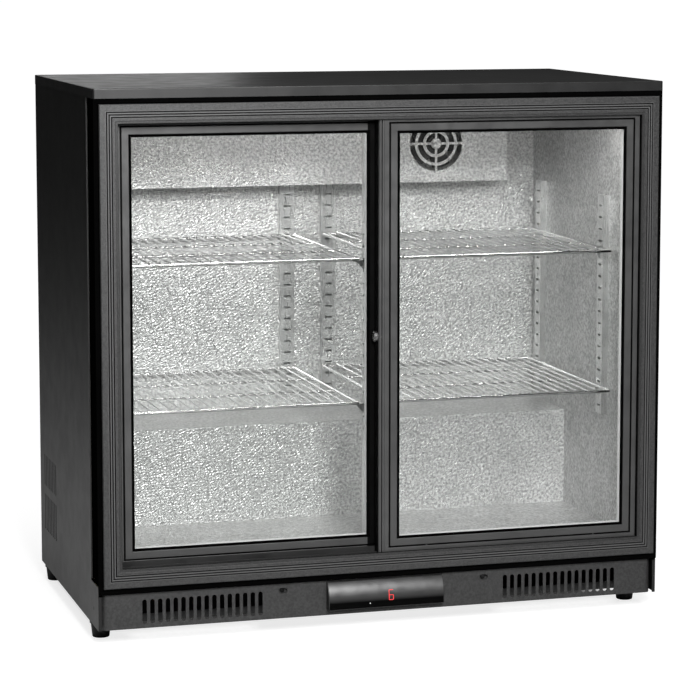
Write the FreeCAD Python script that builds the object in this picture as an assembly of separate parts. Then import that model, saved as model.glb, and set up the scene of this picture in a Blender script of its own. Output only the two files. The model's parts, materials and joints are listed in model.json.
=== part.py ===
"""Two-door undercounter bottle refrigerator with sliding glass doors.

Millimetres. +X is to the right when facing the doors, the doors face -Y and +Z is up.
The origin is on the floor, under the middle of the cabinet.
"""

import FreeCAD, Part
import math
import os

V = FreeCAD.Vector

# ---- driving dimensions -------------------------------------------------------------

WIDTH = 900.0
TOP_DEPTH = 500.0
HEIGHT = 840.0
TRIM_PROUD = 6.0                            # the door surround stands this far past the worktop

BACK = (TOP_DEPTH + TRIM_PROUD) / 2
FRONT = -BACK
TOP_FRONT = FRONT + TRIM_PROUD

OVERCUT = 1.0                               # cutters run this far past the faces that they open
TINY = 0.01                                 # tolerance for picking edges
RUN = 0.05                                  # radial clearance of a running fit

# outer sheets
SHEET = 1.0
FOLD = 1.2                                  # thicker sheet of the folded parts
LIP = 14.7                                  # turned-down edge of the worktop
TOP_CORNER = 4.0                            # corner radius of the worktop
TOP_EDGE = 1.4                              # radius of its upper edge
TOP_FOAM = 4.0                              # gap between the foam and the inside of the worktop's lip
BODY_X = WIDTH / 2 - 1.0                    # outer face of the side panels
BODY_BOTTOM = 28.0
BODY_TOP = HEIGHT - LIP
INNER_X = BODY_X - SHEET
FLANGE = 10.0                               # turned-in bottom edge of the side panels

# skirt: the low front part of the side panels, under the front frame
SKIRT_SETBACK = 3.0
SKIRT_TOP = 95.0
SKIRT_RETURN = 4.0                          # its turned-in front edge
SKIRT_RETURN_TOP = 80.0

# air slots low at the rear of each side, in a lower and an upper block
VENT_BLOCKS = ((91.0, 150.0), (165.0, 216.0))
VENT_COUNT = 8
VENT_FIRST = 107.0
VENT_PITCH = 14.4
VENT_W = 6.0

# louvre slots in the rear cover of the machine room
LOUVRE_ROWS = (60.0, 145.0)
LOUVRE_COUNT = 20
LOUVRE_FIRST = -300.0
LOUVRE_PITCH = 30.0
LOUVRE_H = 65.0
LOUVRE_W = 9.0

# front frame that carries the door tracks
PORTAL_FRONT = FRONT + 7.0
PORTAL_EDGE = PORTAL_FRONT + 36.0           # rear edge of its side flanges
PORTAL_BACK = PORTAL_FRONT + 51.0
PORTAL_BOTTOM = 84.0
NOTCH_TOP = 97.0                            # the side flanges end here, over the side panels' skirts
NOTCH_FRONT = PORTAL_FRONT + 2.0
NOTCH_IN = 2.0
TRAY_FRONT = PORTAL_EDGE + 3.0              # front edge of the sheet under the insulation
JAMB_X = 413.2
SILL_Z = 113.0
HEAD_Z = 797.5
REVEAL = 1.5

# black channel between the front frame and each side panel
SEAM_BACK = PORTAL_EDGE + 22.0
SEAM_X = BODY_X - 4.0                       # floor of the channel
SEAM_TUCK = 8.0                             # it runs on behind the side panel
SEAM_GAP = 0.2
HEM = 2.4                                   # turned-in front edge of the side panel

# ribbed surround
TRIM_X = 442.0
TRIM_BOTTOM = 93.0
TRIM_TOP = 817.0
TRIM_BAND = 29.0
TRIM_ROUND = 1.4                            # eased outer edge
TRIM_GROOVES = (11.6, 15.4, 19.2)           # middle of each groove, inwards from the outer edge
GROOVE_W = 2.0
GROOVE_ROOT = 0.8
GROOVE_DEPTH = 2.8
TRIM_STEP = 24.2                            # the band drops a little here, towards the doors
TRIM_FALL = 0.8

# inside space
LINER = 1.0
IN_X = 406.0
IN_FLOOR = 119.0
IN_CEILING = 790.0
IN_BACK = 212.0
STEP_Y = 54.0                               # the floor steps up over the machine room here
STEP_Z = 276.0
MACHINE_Y = 90.0
MACHINE_TOP = 240.0

# sliding doors
DOOR_T = 21.5
DOOR_FRONT = PORTAL_FRONT + 1.0
DOOR_PITCH = 24.5                           # distance between the two tracks
DOOR_EDGE = 412.6                           # closed edge of each door
DOOR_RING = -3.0                            # where the plain frame ends at the meeting stile
DOOR_GRIP = -11.5                           # free edge of the meeting stile
DOOR_BOTTOM = 119.5
DOOR_TOP = 791.5
DOOR_TRAVEL = 385.0

# tracks
TRACK_FRONT = DOOR_FRONT - 1.0
TRACK_BACK = PORTAL_BACK - REVEAL
TRACK_T = 2.0                               # floor of the sill and of the head
RUNNER_HALF = 1.2
RUNNER_TOP = 121.4
GUIDE_HALF = 0.8                            # rib between the two tracks
GUIDE_TOP = 127.2
HEAD_GUIDE_BOTTOM = 784.0
REAR_LIP = 3.0                              # the rear ribs reach this far over the liner's edge
STOP_GAP = 0.5                              # door to end stop, fully open
STOP_INSET = 1.0

# rollers
ROLLER_R = 6.2
ROLLER_W = 5.0
ROLLER_GAP = 0.3                            # above its runner
ROLLER_Z = RUNNER_TOP + ROLLER_R + ROLLER_GAP
ROLLER_EDGE = 0.6
ROLLER_INSET = 70.0
AXLE_R = 1.5
AXLE_HALF = 8.0
DIMPLES = 3
DIMPLE_R = 0.9
DIMPLE_CIRCLE = 3.8
POCKET_HALF = 8.0
POCKET_GAP = 0.5
POCKET_OVER = 7.4                           # pocket's top above the axle
RUNNER_SLOT_HALF = 2.2
RUNNER_SLOT_OVER = 1.6

# door frame and glazing: distances inwards from the door's edge and back from its face
FRAME_EASE = 0.8
FRAME_BAND = 8.0                            # flat outer band of the frame
BAND_EASE = 0.6
GLASS_Y = 4.0                               # front face of the front pane
REAR_LEDGE_Y = 19.0
REAR_PANE_Y = 15.0
SASH_IN = 10.5
SASH_EASE = 0.5
SASH_Y = 0.6
SASH_BEVEL = (0.8, 1.0)
REBATE = 16.5
SASH_OUT = 21.5
SEAL_OUT = 25.5
SEAL_Y = 2.0
SEAL_EASE = 0.6
PANE = 4.0
PANE_GAP = 0.5                              # between a pane's edge and its rebate
SPACER_GAP = 1.0

# finger groove down the meeting stile, from its free edge
GRIP_REAR_EASE = 1.0
GRIP_FRONT_EASE = 1.5
GRIP_GROOVE = ((3.6, 0.0), (4.2, 2.4), (5.0, 2.4), (5.6, 0.0))

# pile strip behind the meeting stile
BRUSH_X = (4.0, 8.5)
BRUSH_T = 2.5
BRUSH_BOTTOM = GUIDE_TOP + 3.0
BRUSH_TOP = 780.0

# lock in the right door's meeting stile
LOCK_Z = 456.0
LOCK_R = 8.5
LOCK_PROUD = 5.0
LOCK_EDGE = 0.8
LOCK_INNER = -2.0                           # inner end of the lock's seat
PLUG_R = 5.0
PLUG_PROUD = 5.4
PLUG_INNER = -1.2
KEYWAY_HALF = 0.7
KEYWAY_H = 3.2
KEYWAY_DEPTH = 5.0
CAM_LENGTH = 16.95
CAM_TIP = 0.6                               # shortens the cam so that it clears its pocket
CAM_W = 8.0
CAM_T = 2.0
CAM_POCKET_X = 1.8
CAM_POCKET_HALF = 6.0
CAM_POCKET_OVER = 3.0                       # room over the cam
KEEPER_HALF = 4.0                           # slot in the left door's meeting stile
KEEPER_DEPTH = 6.5
KEEPER_HALF_H = 12.0

# plinth
KICK_X = 443.0
KICK_FRONT = -238.0
KICK_BACK = -205.0
KICK_BOTTOM = 27.0
KICK_TOP = 81.0
KICK_CORNER = 9.0
KICK_REACH = 2 * OVERCUT + FOLD             # length of the cutters through its front
SLOT_COUNT = 16
SLOT_PITCH = 12.0
SLOT_FIRST = 197.5
SLOT_W = 7.0
SLOT_BOTTOM = 34.0
SLOT_TOP = 71.0
PLINTH_SCREW_X = 162.0
PLINTH_SCREW_Z = 70.0
OVAL_HALF = 3.0                             # straight half length of the screw openings
OVAL_R = 4.2
TAB_BACK = 6.0
TAB_HALF = 12.0
TAB_TOP = KICK_TOP - FOLD / 2

# screws
DOME_R = 3.6
DOME_H = 2.2
DOME_EDGE = 0.9
SHANK_R = 2.0
SHANK = 8.0
SHANK_HOLE_R = 2.1
SCREW_R = 3.0                               # heads of the flush screws
SCREW_GAP = 0.15
SIDE_SCREW = (TOP_FRONT + 40.6, 55.0)       # y and z
REAR_SCREW_X = 436.0
REAR_SCREW_Z = (50.0, 218.0, 262.0, 806.0)

# controller in the plinth
CTRL_X = 93.0
CTRL_BOTTOM = 36.5
CTRL_TOP = 79.5
CTRL_FRONT = FRONT + 0.6
CTRL_SET_BACK = 11.0                        # of the curved top's rear edge
CTRL_CURVE = (3.2, 13.0)                    # set-back and drop of a point half way along the curve
CTRL_BROW = 31.0                            # drop to where the upright front begins
CTRL_CHIN = 2.5                             # radius of the lower front edge
CTRL_RIM = 1.2                              # housing that shows around the window
CTRL_FRAME = 4.0                            # housing behind the plinth's opening
CTRL_SIDE_WALL = 2.5
CTRL_REAR_WALL = 1.5
CTRL_BODY_INSET = 5.0
CTRL_BODY = 26.0                            # depth of the body behind the plinth
CTRL_WALL = 3.0
WINDOW_T = 2.4
BOARD_X = 70.0
BOARD_T = 1.6
BOARD_INSET = 9.0
MODULE_X = 16.0
MODULE_DEPTH = 8.0
MODULE_INSET = 12.0
BOARD_POST_X = (-60.0, 56.0)
BOARD_POST_Z = 55.0
BOARD_POST = 4.0

# wire shelves
SHELF_Z = (347.0, 571.5)                    # top of the front rail
SHELF_INNER_X = 26.0
SHELF_OUTER_X = 392.0
SHELF_FRONT = -180.0
SHELF_BACK = 194.0
CROSS_Y = (125.0, 250.0)                    # cross rails, from the front rail
CROSS_R = 2.0
CROSS_DROP = 0.4
RAIL_R = 2.6
WIRE_R = 1.5
WIRE_PITCH = 16.0
WIRE_SINK = 0.6                             # share of the wire's radius that is welded into the rails
WIRE_END = 1.5                              # the wires reach this far past the rails

# shelf clips
CLIP_REACH = 18.0
CLIP_HALF = 5.0
CLIP_T = 2.0
CLIP_GAP = 0.2                              # under the rails
CLIP_WEB = (12.0, 14.0)                     # reach and height of the web under a clip

# slotted uprights
POST_W = 25.0
POST_T = 10.0
POST_BOTTOM = 300.0
POST_TOP = 654.0
POST_FRONT_Y = -125.5
POST_BACK_Y = 160.0
BACK_POST_X = 36.0
POST_PITCH = 19.0
POST_SLOT_W = 12.0
POST_SLOT_H = 3.0
POST_SLOT_FIRST = 12.0                      # above the upright's foot
POST_SLOTS = 18
CENTRE_Y = -165.0
CENTRE_HALF = 12.0
CENTRE_DEPTH = 16.0
CENTRE_CAP = 2.0
CENTRE_SLOT_W = 6.0

# light strip under the ceiling
LIGHT_X = 380.0
LIGHT_Y = -193.0
LIGHT_W = 18.0
LIGHT_H = 12.0
LIGHT_WALL = 1.5
LIGHT_END = 2.0
LIGHT_ROOF = 4.0
DIFFUSER_T = 4.0
DIFFUSER_END = 0.3
DIFFUSER_SIDE = 0.1

# evaporator under the ceiling at the back
EVAP_X = 330.0
EVAP_FRONT = 137.0
EVAP_BOTTOM = 658.0
OUTLET_COUNT = 15                           # air outlets in the cover's underside
OUTLET_FIRST = -300.0
OUTLET_PITCH = 40.0
OUTLET_W = 25.0
OUTLET_FRONT = 20.0                         # from the cover's front
OUTLET_REAR = 15.0                          # from the back wall
COIL_X = (-300.0, 140.0)
COIL_Y = (160.0, 195.0)
COIL_Z = (668.0, 776.0)
COIL_FINS = 40
COIL_TUBE_Y = 178.0
COIL_LEVELS = (680.0, 704.0, 728.0, 752.0)
FIN_GAP = 3.0
FIN_DEPTH = 8.0
TUBE_R = 3.5
TUBE_PITCH = 12.0
GUARD_RINGS = 3
GUARD_PITCH = 14.0
GUARD_GAP = 9.0
GUARD_SPOKE = 2.0                           # half width
EFAN_X = 205.0
EFAN_Y = 154.0
EFAN_Z = 722.0
EFAN_GUARD_R = 46.0
EFAN_HUB_R = 13.0
EFAN_TIP_R = 42.0
EFAN_DEPTH = 12.0
EMOTOR_Y = 162.0
EMOTOR_R = 20.0
EMOTOR_LENGTH = 30.0
EMOTOR_ARM_Y = 182.0
EMOTOR_ARM = 8.0                            # half width

# fans and their motors
SHAFT_R = 2.5
SHAFT_OUT = 12.0                            # shaft behind the hub
SHAFT_IN = 4.0                              # shaft inside the hub
MOTOR_BORE = 15.0
MOTOR_EDGE = 3.0
HUB_EDGE = 2.0
BLADES = 5
BLADE_T = 1.6
BLADE_ROOT = 3.0                            # blade inside the hub
BLADE_TILT = 24.0
BLADE_CHORD = 0.72                          # as a share of the tip radius

# machine room
BASE_T = 1.5
BASE_LIP = 12.0
BASE_FRONT = KICK_BACK + 4.0
DECK = BODY_BOTTOM + BASE_T                 # upper face of the base

# compressor
COMP_X = 140.0
COMP_Y = 172.0
COMP_BOTTOM = DECK + 14.0
COMP_R = 64.0
COMP_TOP_R = 62.0
COMP_HALF_H = 78.0
COMP_LOW_EDGE = 20.0
COMP_TOP_EDGE = 30.0
COMP_RIM_R = 66.0
COMP_RIM_H = 4.0
COMP_PLATE = (90.0, 60.0)                   # half length and half width of the foot plate
COMP_PLATE_T = (3.0, 2.0)                   # below and above the shell's bottom
COMP_PLATE_CORNER = 12.0
COMP_MOUNT = (78.0, 48.0)
TERMINAL_X = (55.0, 82.0)                   # terminal cover, out from the compressor's axis
TERMINAL_HALF = 24.0
TERMINAL_Z = (30.0, 85.0)
MOUNT_R = (11.0, 5.8, 9.0)                  # base, neck and cap of a rubber mount
MOUNT_Z = (0.0, 11.0, 16.0, 20.0)
MOUNT_HOLE_R = 6.0

# condenser with its shroud, motor and fan
COND_X = -440.0
COND_T = 44.0
COND_Y = (104.0, 244.0)
COND_BOTTOM = DECK + 28.0
COND_TOP = 226.0
COND_FINS = 24
COND_LEG_X = (8.0, 36.0)
COND_LEG_Y = (106.0, 200.0)
COND_LEG_T = 2.0
COND_BENDS = 5
COND_BEND_FIRST = 10.0
COND_BEND_PITCH = 28.0
SHROUD_X = COND_X + COND_T + 2.0
SHROUD_T = 1.5
SHROUD_Y = (100.0, 248.0)
SHROUD_TOP = 232.0
SHROUD_FOOT = 20.0
COLLAR_R = 70.0
COLLAR = 26.0
CFAN_X = -368.0
CFAN_Y = 174.0
CFAN_Z = 132.0
CFAN_HUB_R = 17.0
CFAN_TIP_R = 66.0
CFAN_DEPTH = 16.0
CMOTOR_X = CFAN_X + 8.0
CMOTOR_R = 31.0
CMOTOR_LENGTH = 52.0
CMOTOR_POST = (18.0, 34.0, 10.0)            # from, to and half width
CMOTOR_FOOT = (8.0, 48.0, 22.0, 3.0)        # from, to, half width and thickness

# refrigerant lines
LINE_R = 3.0
PIPE_R = 4.0                                # holes for the lines
PIPE_X = (-20.0, 20.0)
PIPE_Z = 700.0
PIPE_END_Y = 195.0                          # where the lines join the evaporator
RISER_Y = 232.0
LINE_Y = 112.0
LINE_LOW_Z = 68.0
LINE_HIGH_Z = 215.0
SUCTION_Z = 170.0
DISCHARGE_Z = 150.0
DISCHARGE_X = 40.0
STUBS = ((-55.0, -20.0), (-46.0, 33.0))     # discharge and suction stubs, from the compressor's axis
LIQUID_Y = 150.0
LIQUID_Z = 228.0
LIQUID_LEAD = 40.0                          # run before the drier
SUCTION_X = 58.0
BENDS = (9.0, 8.0, 6.0)                     # discharge, condenser outlet and rising lines
DRIER_X = -60.0
DRIER_Y = 128.0
DRIER_R = 10.0
DRIER_NECK_R = 3.2
DRIER_Z = (110.0, 196.0)
DRIER_CONE = 14.0

# defrost water
DRAIN_X = -120.0
DRAIN_Y = 175.0
DRAIN_R = 6.0
DRAIN_WALL = 1.5
DRAIN_END = DECK + 38.0
PAN_X = (-290.0, -30.0)
PAN_Y = (130.0, 240.0)
PAN_H = 32.0
PAN_WALL = 2.0
PAN_CORNER = 10.0

# electrical box and mains inlet
EBOX_X = (290.0, 400.0)
EBOX_Y = (110.0, 222.0)
EBOX_H = 95.0
EBOX_CORNER = 4.0
EBOX_LID = 80.0                             # height of the groove under the lid
EBOX_GROOVE = 1.2
INLET_X = 330.0
INLET_Z = 80.0
INLET_HALF = (14.0, 10.0)
INLET_SIDE = 2.5
INLET_DEPTH = 26.0
INLET_RECESS = 18.0
INLET_SHY = 0.2                             # the inlet sits this far behind the cover's face
PINS = ((-7.0, -1.5), (0.0, 2.5), (7.0, -1.5))
PIN_HALF = (1.2, 2.4)
PIN_Y = (20.0, 4.0)

# levelling feet
FOOT_X = 430.0
FOOT_FRONT_Y = -162.0
FOOT_BACK_Y = 231.0
FOOT_TOP_R = 17.0
FOOT_BOTTOM_R = 13.0
FOOT_CONE = 22.0
FOOT_SHOULDER = 1.5
FOOT_EDGE = 1.5
FOOT_GAP = 1.4                              # under the base, screwed right in
STUD_R = 5.0
STUD_BOTTOM = 20.0
STUD_TOP = BODY_BOTTOM + 26.0
NUT_HALF = 12.0
NUT = 8.0                                   # height of the threaded bosses in the base
PAD_HALF = 17.5                             # doubling plates in the base around the studs


# ---- helpers ------------------------------------------------------------------------

def box(x0, x1, y0, y1, z0, z1):
    return Part.makeBox(x1 - x0, y1 - y0, z1 - z0, V(x0, y0, z0))


def cyl(radius, start, end):
    start, end = V(*start), V(*end)
    return Part.makeCylinder(radius, (end - start).Length, start, end - start)


def rod_x(radius, x0, x1, y, z):
    return cyl(radius, (x0, y, z), (x1, y, z))


def rod_y(radius, x, y0, y1, z):
    return cyl(radius, (x, y0, z), (x, y1, z))


def rod_z(radius, x, y, z0, z1):
    return cyl(radius, (x, y, z0), (x, y, z1))


def prism(points, direction):
    wire = Part.makePolygon([V(*p) for p in points] + [V(*points[0])])
    return Part.Face(wire).extrude(V(*direction))


def fuse(shapes):
    first, rest = shapes[0], shapes[1:]
    return first.fuse(rest).removeSplitter() if rest else first


def group(shapes):
    solids = []
    for shape in shapes:
        solids.extend(shape.Solids)
    return Part.makeCompound(solids)


def mirror_x(shape):
    return shape.mirror(V(0, 0, 0), V(1, 0, 0))


def both_sides(shape):
    return [shape, mirror_x(shape)]


def turned(shape, degrees, place):
    """The shape turned about Z and then moved to its place."""
    copy = shape.copy()
    copy.Placement = FreeCAD.Placement(V(*place), FreeCAD.Rotation(V(0, 0, 1), degrees))
    return copy


def vertical_edges(shape, test=lambda x, y: True):
    """Straight edges along Z whose middle passes the test."""
    found = []
    for edge in shape.Edges:
        a, b = edge.firstVertex().Point, edge.lastVertex().Point
        if abs(a.x - b.x) < TINY and abs(a.y - b.y) < TINY and test(a.x, a.y):
            found.append(edge)
    return found


def ease_rims(shape, radius, test=lambda centre: True):
    """Round the circular edges whose centre passes the test."""
    return shape.makeFillet(radius, [e for e in shape.Edges if e.Closed and test(e.CenterOfMass)])


def slot_z(x, y0, y1, z0, z1, width):
    """Cutter for an upright slot with round ends, cut along Y."""
    r = width / 2
    body = box(x - r, x + r, y0, y1, z0 + r, z1 - r)
    return fuse([body] + [rod_y(r, x, y0, y1, z) for z in (z0 + r, z1 - r)])


def ruled_bar(near, far):
    """Straight bar between two flat ends that have matching corners."""
    loops = [near + near[:1], far + far[:1]]
    for i in range(len(near)):
        j = (i + 1) % len(near)
        loops.append([near[i], near[j], far[j], far[i], near[i]])
    shell = Part.makeShell([Part.Face(Part.makePolygon(loop)) for loop in loops])
    shell.sewShape()
    bar = Part.makeSolid(Part.Shell(shell.Faces))
    return bar if bar.Volume > 0 else bar.reversed()


def mitred_frame(profile, x0, x1, z0, z1):
    """Four bars with mitred corners. The profile is a list of (inset, y)."""
    corners = [(x0, z0, 1, 1), (x1, z0, -1, 1), (x1, z1, -1, -1), (x0, z1, 1, -1)]
    ends = [[V(x + sx * inset, y, z + sz * inset) for inset, y in profile] for x, z, sx, sz in corners]
    return [ruled_bar(ends[i], ends[(i + 1) % 4]) for i in range(4)]


def pipe(points, radius, bend):
    """Round tube of straight runs with equal bends."""
    pts = [V(*p) for p in points]
    edges = []
    start = pts[0]
    for a, b, c in zip(pts, pts[1:], pts[2:]):
        u, w = (b - a).normalize(), (c - b).normalize()
        turn = u.getAngle(w)
        cut = bend * math.tan(turn / 2)
        p, q = b - u * cut, b + w * cut
        middle = b + (w - u).normalize() * (bend / math.cos(turn / 2) - bend)
        edges.append(Part.LineSegment(start, p).toShape())
        edges.append(Part.Arc(p, middle, q).toShape())
        start = q
    edges.append(Part.LineSegment(start, pts[-1]).toShape())
    section = Part.Wire(Part.Circle(pts[0], pts[1] - pts[0], radius).toShape())
    return Part.Wire(edges).makePipeShell([section], True, False)


# ---- cabinet ------------------------------------------------------------------------

def worktop():
    """One folded sheet: a flat top with turned-down edges."""
    half = WIDTH / 2
    top = box(-half, half, TOP_FRONT, BACK, BODY_TOP, HEIGHT)
    top = top.makeFillet(TOP_CORNER, vertical_edges(top))
    top = top.makeFillet(TOP_EDGE, [e for e in top.Edges if e.BoundBox.ZMin > HEIGHT - TINY])
    half -= FOLD
    hollow = box(-half, half, TOP_FRONT + FOLD, BACK - FOLD, BODY_TOP - OVERCUT, HEIGHT - FOLD)
    return top.cut(hollow.makeFillet(TOP_CORNER - FOLD, vertical_edges(hollow)))


def side_vents():
    """Cutters for the two blocks of upright slots low at the rear of a side."""
    cutters = []
    for bottom, top in VENT_BLOCKS:
        for i in range(VENT_COUNT):
            y = VENT_FIRST + VENT_PITCH * i
            cutters.append(box(INNER_X - OVERCUT, BODY_X + OVERCUT, y, y + VENT_W, bottom, top))
    return cutters


def side_panel():
    """Right side: the tall sheet with its turned-in front edge, and the skirt under the frame."""
    skirt_y = PORTAL_FRONT + SKIRT_SETBACK
    flange_x = INNER_X - FLANGE
    panel = fuse([
        box(INNER_X, BODY_X, SEAM_BACK, BACK - SHEET, BODY_BOTTOM, BODY_TOP),
        box(BODY_X - HEM, INNER_X, SEAM_BACK, SEAM_BACK + SHEET, NOTCH_TOP, BODY_TOP),
        box(INNER_X, BODY_X, skirt_y, SEAM_BACK, BODY_BOTTOM, SKIRT_TOP),
        box(INNER_X - SKIRT_RETURN, INNER_X, skirt_y, skirt_y + SHEET, BODY_BOTTOM, SKIRT_RETURN_TOP),
        box(flange_x, INNER_X, BASE_FRONT, BACK - SHEET, BODY_BOTTOM, BODY_BOTTOM + SHEET),
    ])
    return panel.cut(side_vents() + screw_holes())


def back_panel():
    sheet = box(-BODY_X, BODY_X, BACK - SHEET, BACK, MACHINE_TOP + SHEET, BODY_TOP)
    return sheet.cut(screw_holes())


def machine_cover():
    """Rear sheet of the machine room with louvre slots and the cut-out of the mains inlet."""
    sheet = box(-BODY_X, BODY_X, BACK - SHEET, BACK, BODY_BOTTOM, MACHINE_TOP)
    y0, y1 = BACK - SHEET - OVERCUT, BACK + OVERCUT
    cutters = screw_holes()
    for bottom in LOUVRE_ROWS:
        for i in range(LOUVRE_COUNT):
            x = LOUVRE_FIRST + LOUVRE_PITCH * i
            cutters.append(slot_z(x, y0, y1, bottom, bottom + LOUVRE_H, LOUVRE_W))
    half_x, half_z = INLET_HALF
    cutters.append(box(INLET_X - half_x, INLET_X + half_x, y0, y1, INLET_Z - half_z, INLET_Z + half_z))
    return sheet.cut(cutters)


def seam_channel():
    """Right-hand channel behind the front frame's side flange: a web, a floor and a foot."""
    x0, y0 = SEAM_X - FOLD, PORTAL_EDGE - FOLD
    web = box(x0, BODY_X, y0, PORTAL_EDGE, NOTCH_TOP, BODY_TOP)
    floor = box(x0, SEAM_X, y0, SEAM_BACK + SEAM_TUCK, NOTCH_TOP, BODY_TOP)
    foot_plate = box(x0, BODY_X, y0, SEAM_BACK - SEAM_GAP, NOTCH_TOP - FOLD, NOTCH_TOP)
    return fuse([web, floor, foot_plate])


def portal_frame():
    """Folded black steel frame around the doors, with the reveals that hold the tracks."""
    y0, y1 = PORTAL_FRONT, PORTAL_BACK
    wall = JAMB_X + REVEAL
    room_x = BODY_X - FOLD
    notch_x = BODY_X - NOTCH_IN
    plate = box(-BODY_X, BODY_X, y0, y0 + REVEAL, PORTAL_BOTTOM, BODY_TOP)
    outer = box(-BODY_X, BODY_X, y0, PORTAL_EDGE, PORTAL_BOTTOM, BODY_TOP)
    room = box(-room_x, room_x, y0 - OVERCUT, PORTAL_EDGE + OVERCUT, PORTAL_BOTTOM + FOLD, BODY_TOP - FOLD)
    notch = box(notch_x, BODY_X + OVERCUT, NOTCH_FRONT, PORTAL_EDGE + OVERCUT,
                PORTAL_BOTTOM - OVERCUT, NOTCH_TOP)
    outer = outer.cut([room] + both_sides(notch))
    reveal = box(-wall, wall, y0, y1, SILL_Z - REVEAL, HEAD_Z + REVEAL)
    hole = box(-JAMB_X, JAMB_X, y0 - OVERCUT, y1 - REVEAL, SILL_Z, HEAD_Z)
    mouth = box(-IN_X, IN_X, y0 - OVERCUT, y1 + OVERCUT, IN_FLOOR, IN_CEILING)
    return fuse([plate, outer, reveal] + both_sides(seam_channel())).cut([hole, mouth])


def surround_trim():
    """Four mitred lengths of ribbed moulding: grooves part a broad outer band from the inner one."""
    y, back = FRONT, PORTAL_FRONT
    profile = [(0, back), (0, y + TRIM_ROUND), (TRIM_ROUND, y)]
    for groove in TRIM_GROOVES:
        edge, root = groove - GROOVE_W / 2, groove - GROOVE_ROOT / 2
        profile += [(edge, y), (root, y + GROOVE_DEPTH)]
        profile += [(root + GROOVE_ROOT, y + GROOVE_DEPTH), (edge + GROOVE_W, y)]
    profile += [(TRIM_STEP, y), (TRIM_STEP + TRIM_FALL, y + TRIM_FALL)]
    profile += [(TRIM_BAND - TRIM_FALL, y + TRIM_FALL), (TRIM_BAND, y + 2 * TRIM_FALL), (TRIM_BAND, back)]
    return mitred_frame(profile, -TRIM_X, TRIM_X, TRIM_BOTTOM, TRIM_TOP)


def track_y(index):
    """Middle plane of a door: index 0 is the front track, 1 the rear one."""
    return DOOR_FRONT + DOOR_T / 2 + DOOR_PITCH * index


def track_rib(y, half, z0, z1):
    return box(-JAMB_X, JAMB_X, y - half, y + half, z0, z1)


def door_tracks():
    """Sill track with two runners and a guide rib, head track, and the doors' end stops."""
    y0, y1 = TRACK_FRONT, TRACK_BACK
    middle = (track_y(0) + track_y(1)) / 2
    rear = y1 - RUNNER_HALF / 2
    low, high = SILL_Z + TRACK_T / 2, HEAD_Z - TRACK_T / 2
    sill = fuse([
        box(-JAMB_X, JAMB_X, y0, y1, SILL_Z, SILL_Z + TRACK_T),
        track_rib(track_y(0), RUNNER_HALF, low, RUNNER_TOP),
        track_rib(track_y(1), RUNNER_HALF, low, RUNNER_TOP),
        track_rib(middle, GUIDE_HALF, low, GUIDE_TOP),
        track_rib(rear, RUNNER_HALF / 2, low, IN_FLOOR + REAR_LIP),
    ])
    head = fuse([
        box(-JAMB_X, JAMB_X, y0, y1, HEAD_Z - TRACK_T, HEAD_Z),
        track_rib(middle, GUIDE_HALF, HEAD_GUIDE_BOTTOM, high),
        track_rib(rear, RUNNER_HALF / 2, IN_CEILING - REAR_LIP, high),
    ])
    stop = box(-JAMB_X, DOOR_GRIP - DOOR_TRAVEL - STOP_GAP, DOOR_FRONT + STOP_INSET,
               DOOR_FRONT + DOOR_T - STOP_INSET, TRIM_TOP - TRIM_BAND + STOP_INSET, HEAD_Z - TRACK_T)
    return [sill, head, place_door(stop, 0), place_door(stop, 1)]


def liner_cavity(grow):
    """Inside space, grown by the liner's thickness where asked."""
    space = box(-IN_X - grow, IN_X + grow, PORTAL_BACK, IN_BACK + grow, IN_FLOOR - grow, IN_CEILING + grow)
    side, back, bottom = IN_X + grow + OVERCUT, IN_BACK + grow + OVERCUT, IN_FLOOR - grow - OVERCUT
    return space.cut(box(-side, side, STEP_Y + grow, back, bottom, STEP_Z - grow))


def liner_walls():
    """Two sides, back and ceiling of embossed aluminium, each a separate sheet."""
    y0, y1 = PORTAL_BACK, IN_BACK + LINER
    side = box(IN_X, IN_X + LINER, y0, y1, IN_FLOOR - LINER, IN_CEILING)
    side = side.cut(box(IN_X - OVERCUT, IN_X + LINER + OVERCUT, STEP_Y + LINER, y1 + OVERCUT,
                        IN_FLOOR - LINER - OVERCUT, STEP_Z - LINER))
    back = box(-IN_X, IN_X, IN_BACK, y1, STEP_Z - LINER, IN_CEILING)
    back = back.cut([rod_y(PIPE_R, x, IN_BACK - OVERCUT, y1 + OVERCUT, PIPE_Z) for x in PIPE_X])
    ceiling = box(-IN_X - LINER, IN_X + LINER, y0, y1, IN_CEILING, IN_CEILING + LINER)
    return both_sides(side) + [back, ceiling]


def liner_floor():
    """Floor sheet folded up over the machine room."""
    floor = box(-IN_X, IN_X, PORTAL_BACK, STEP_Y + LINER, IN_FLOOR - LINER, IN_FLOOR)
    riser = box(-IN_X, IN_X, STEP_Y, STEP_Y + LINER, IN_FLOOR - LINER, STEP_Z)
    ledge = box(-IN_X, IN_X, STEP_Y, IN_BACK, STEP_Z - LINER, STEP_Z)
    drain = rod_z(DRAIN_R, DRAIN_X, DRAIN_Y, STEP_Z - LINER - OVERCUT, STEP_Z + OVERCUT)
    return fuse([floor, riser, ledge]).cut(drain)


def foam_tray():
    """Sheet that closes the insulation from below and from the machine room."""
    x = INNER_X
    under = box(-x, x, TRAY_FRONT, MACHINE_Y + SHEET, PORTAL_BOTTOM - SHEET, PORTAL_BOTTOM)
    riser = box(-x, x, MACHINE_Y, MACHINE_Y + SHEET, PORTAL_BOTTOM - SHEET, MACHINE_TOP + SHEET)
    ceiling = box(-x, x, MACHINE_Y, BACK - SHEET, MACHINE_TOP, MACHINE_TOP + SHEET)
    low, high = MACHINE_TOP - OVERCUT, MACHINE_TOP + SHEET + OVERCUT
    holes = [rod_z(PIPE_R, pipe_x, RISER_Y, low, high) for pipe_x in PIPE_X]
    holes.append(rod_z(DRAIN_R, DRAIN_X, DRAIN_Y, low, high))
    return fuse([under, riser, ceiling]).cut(holes)


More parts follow.
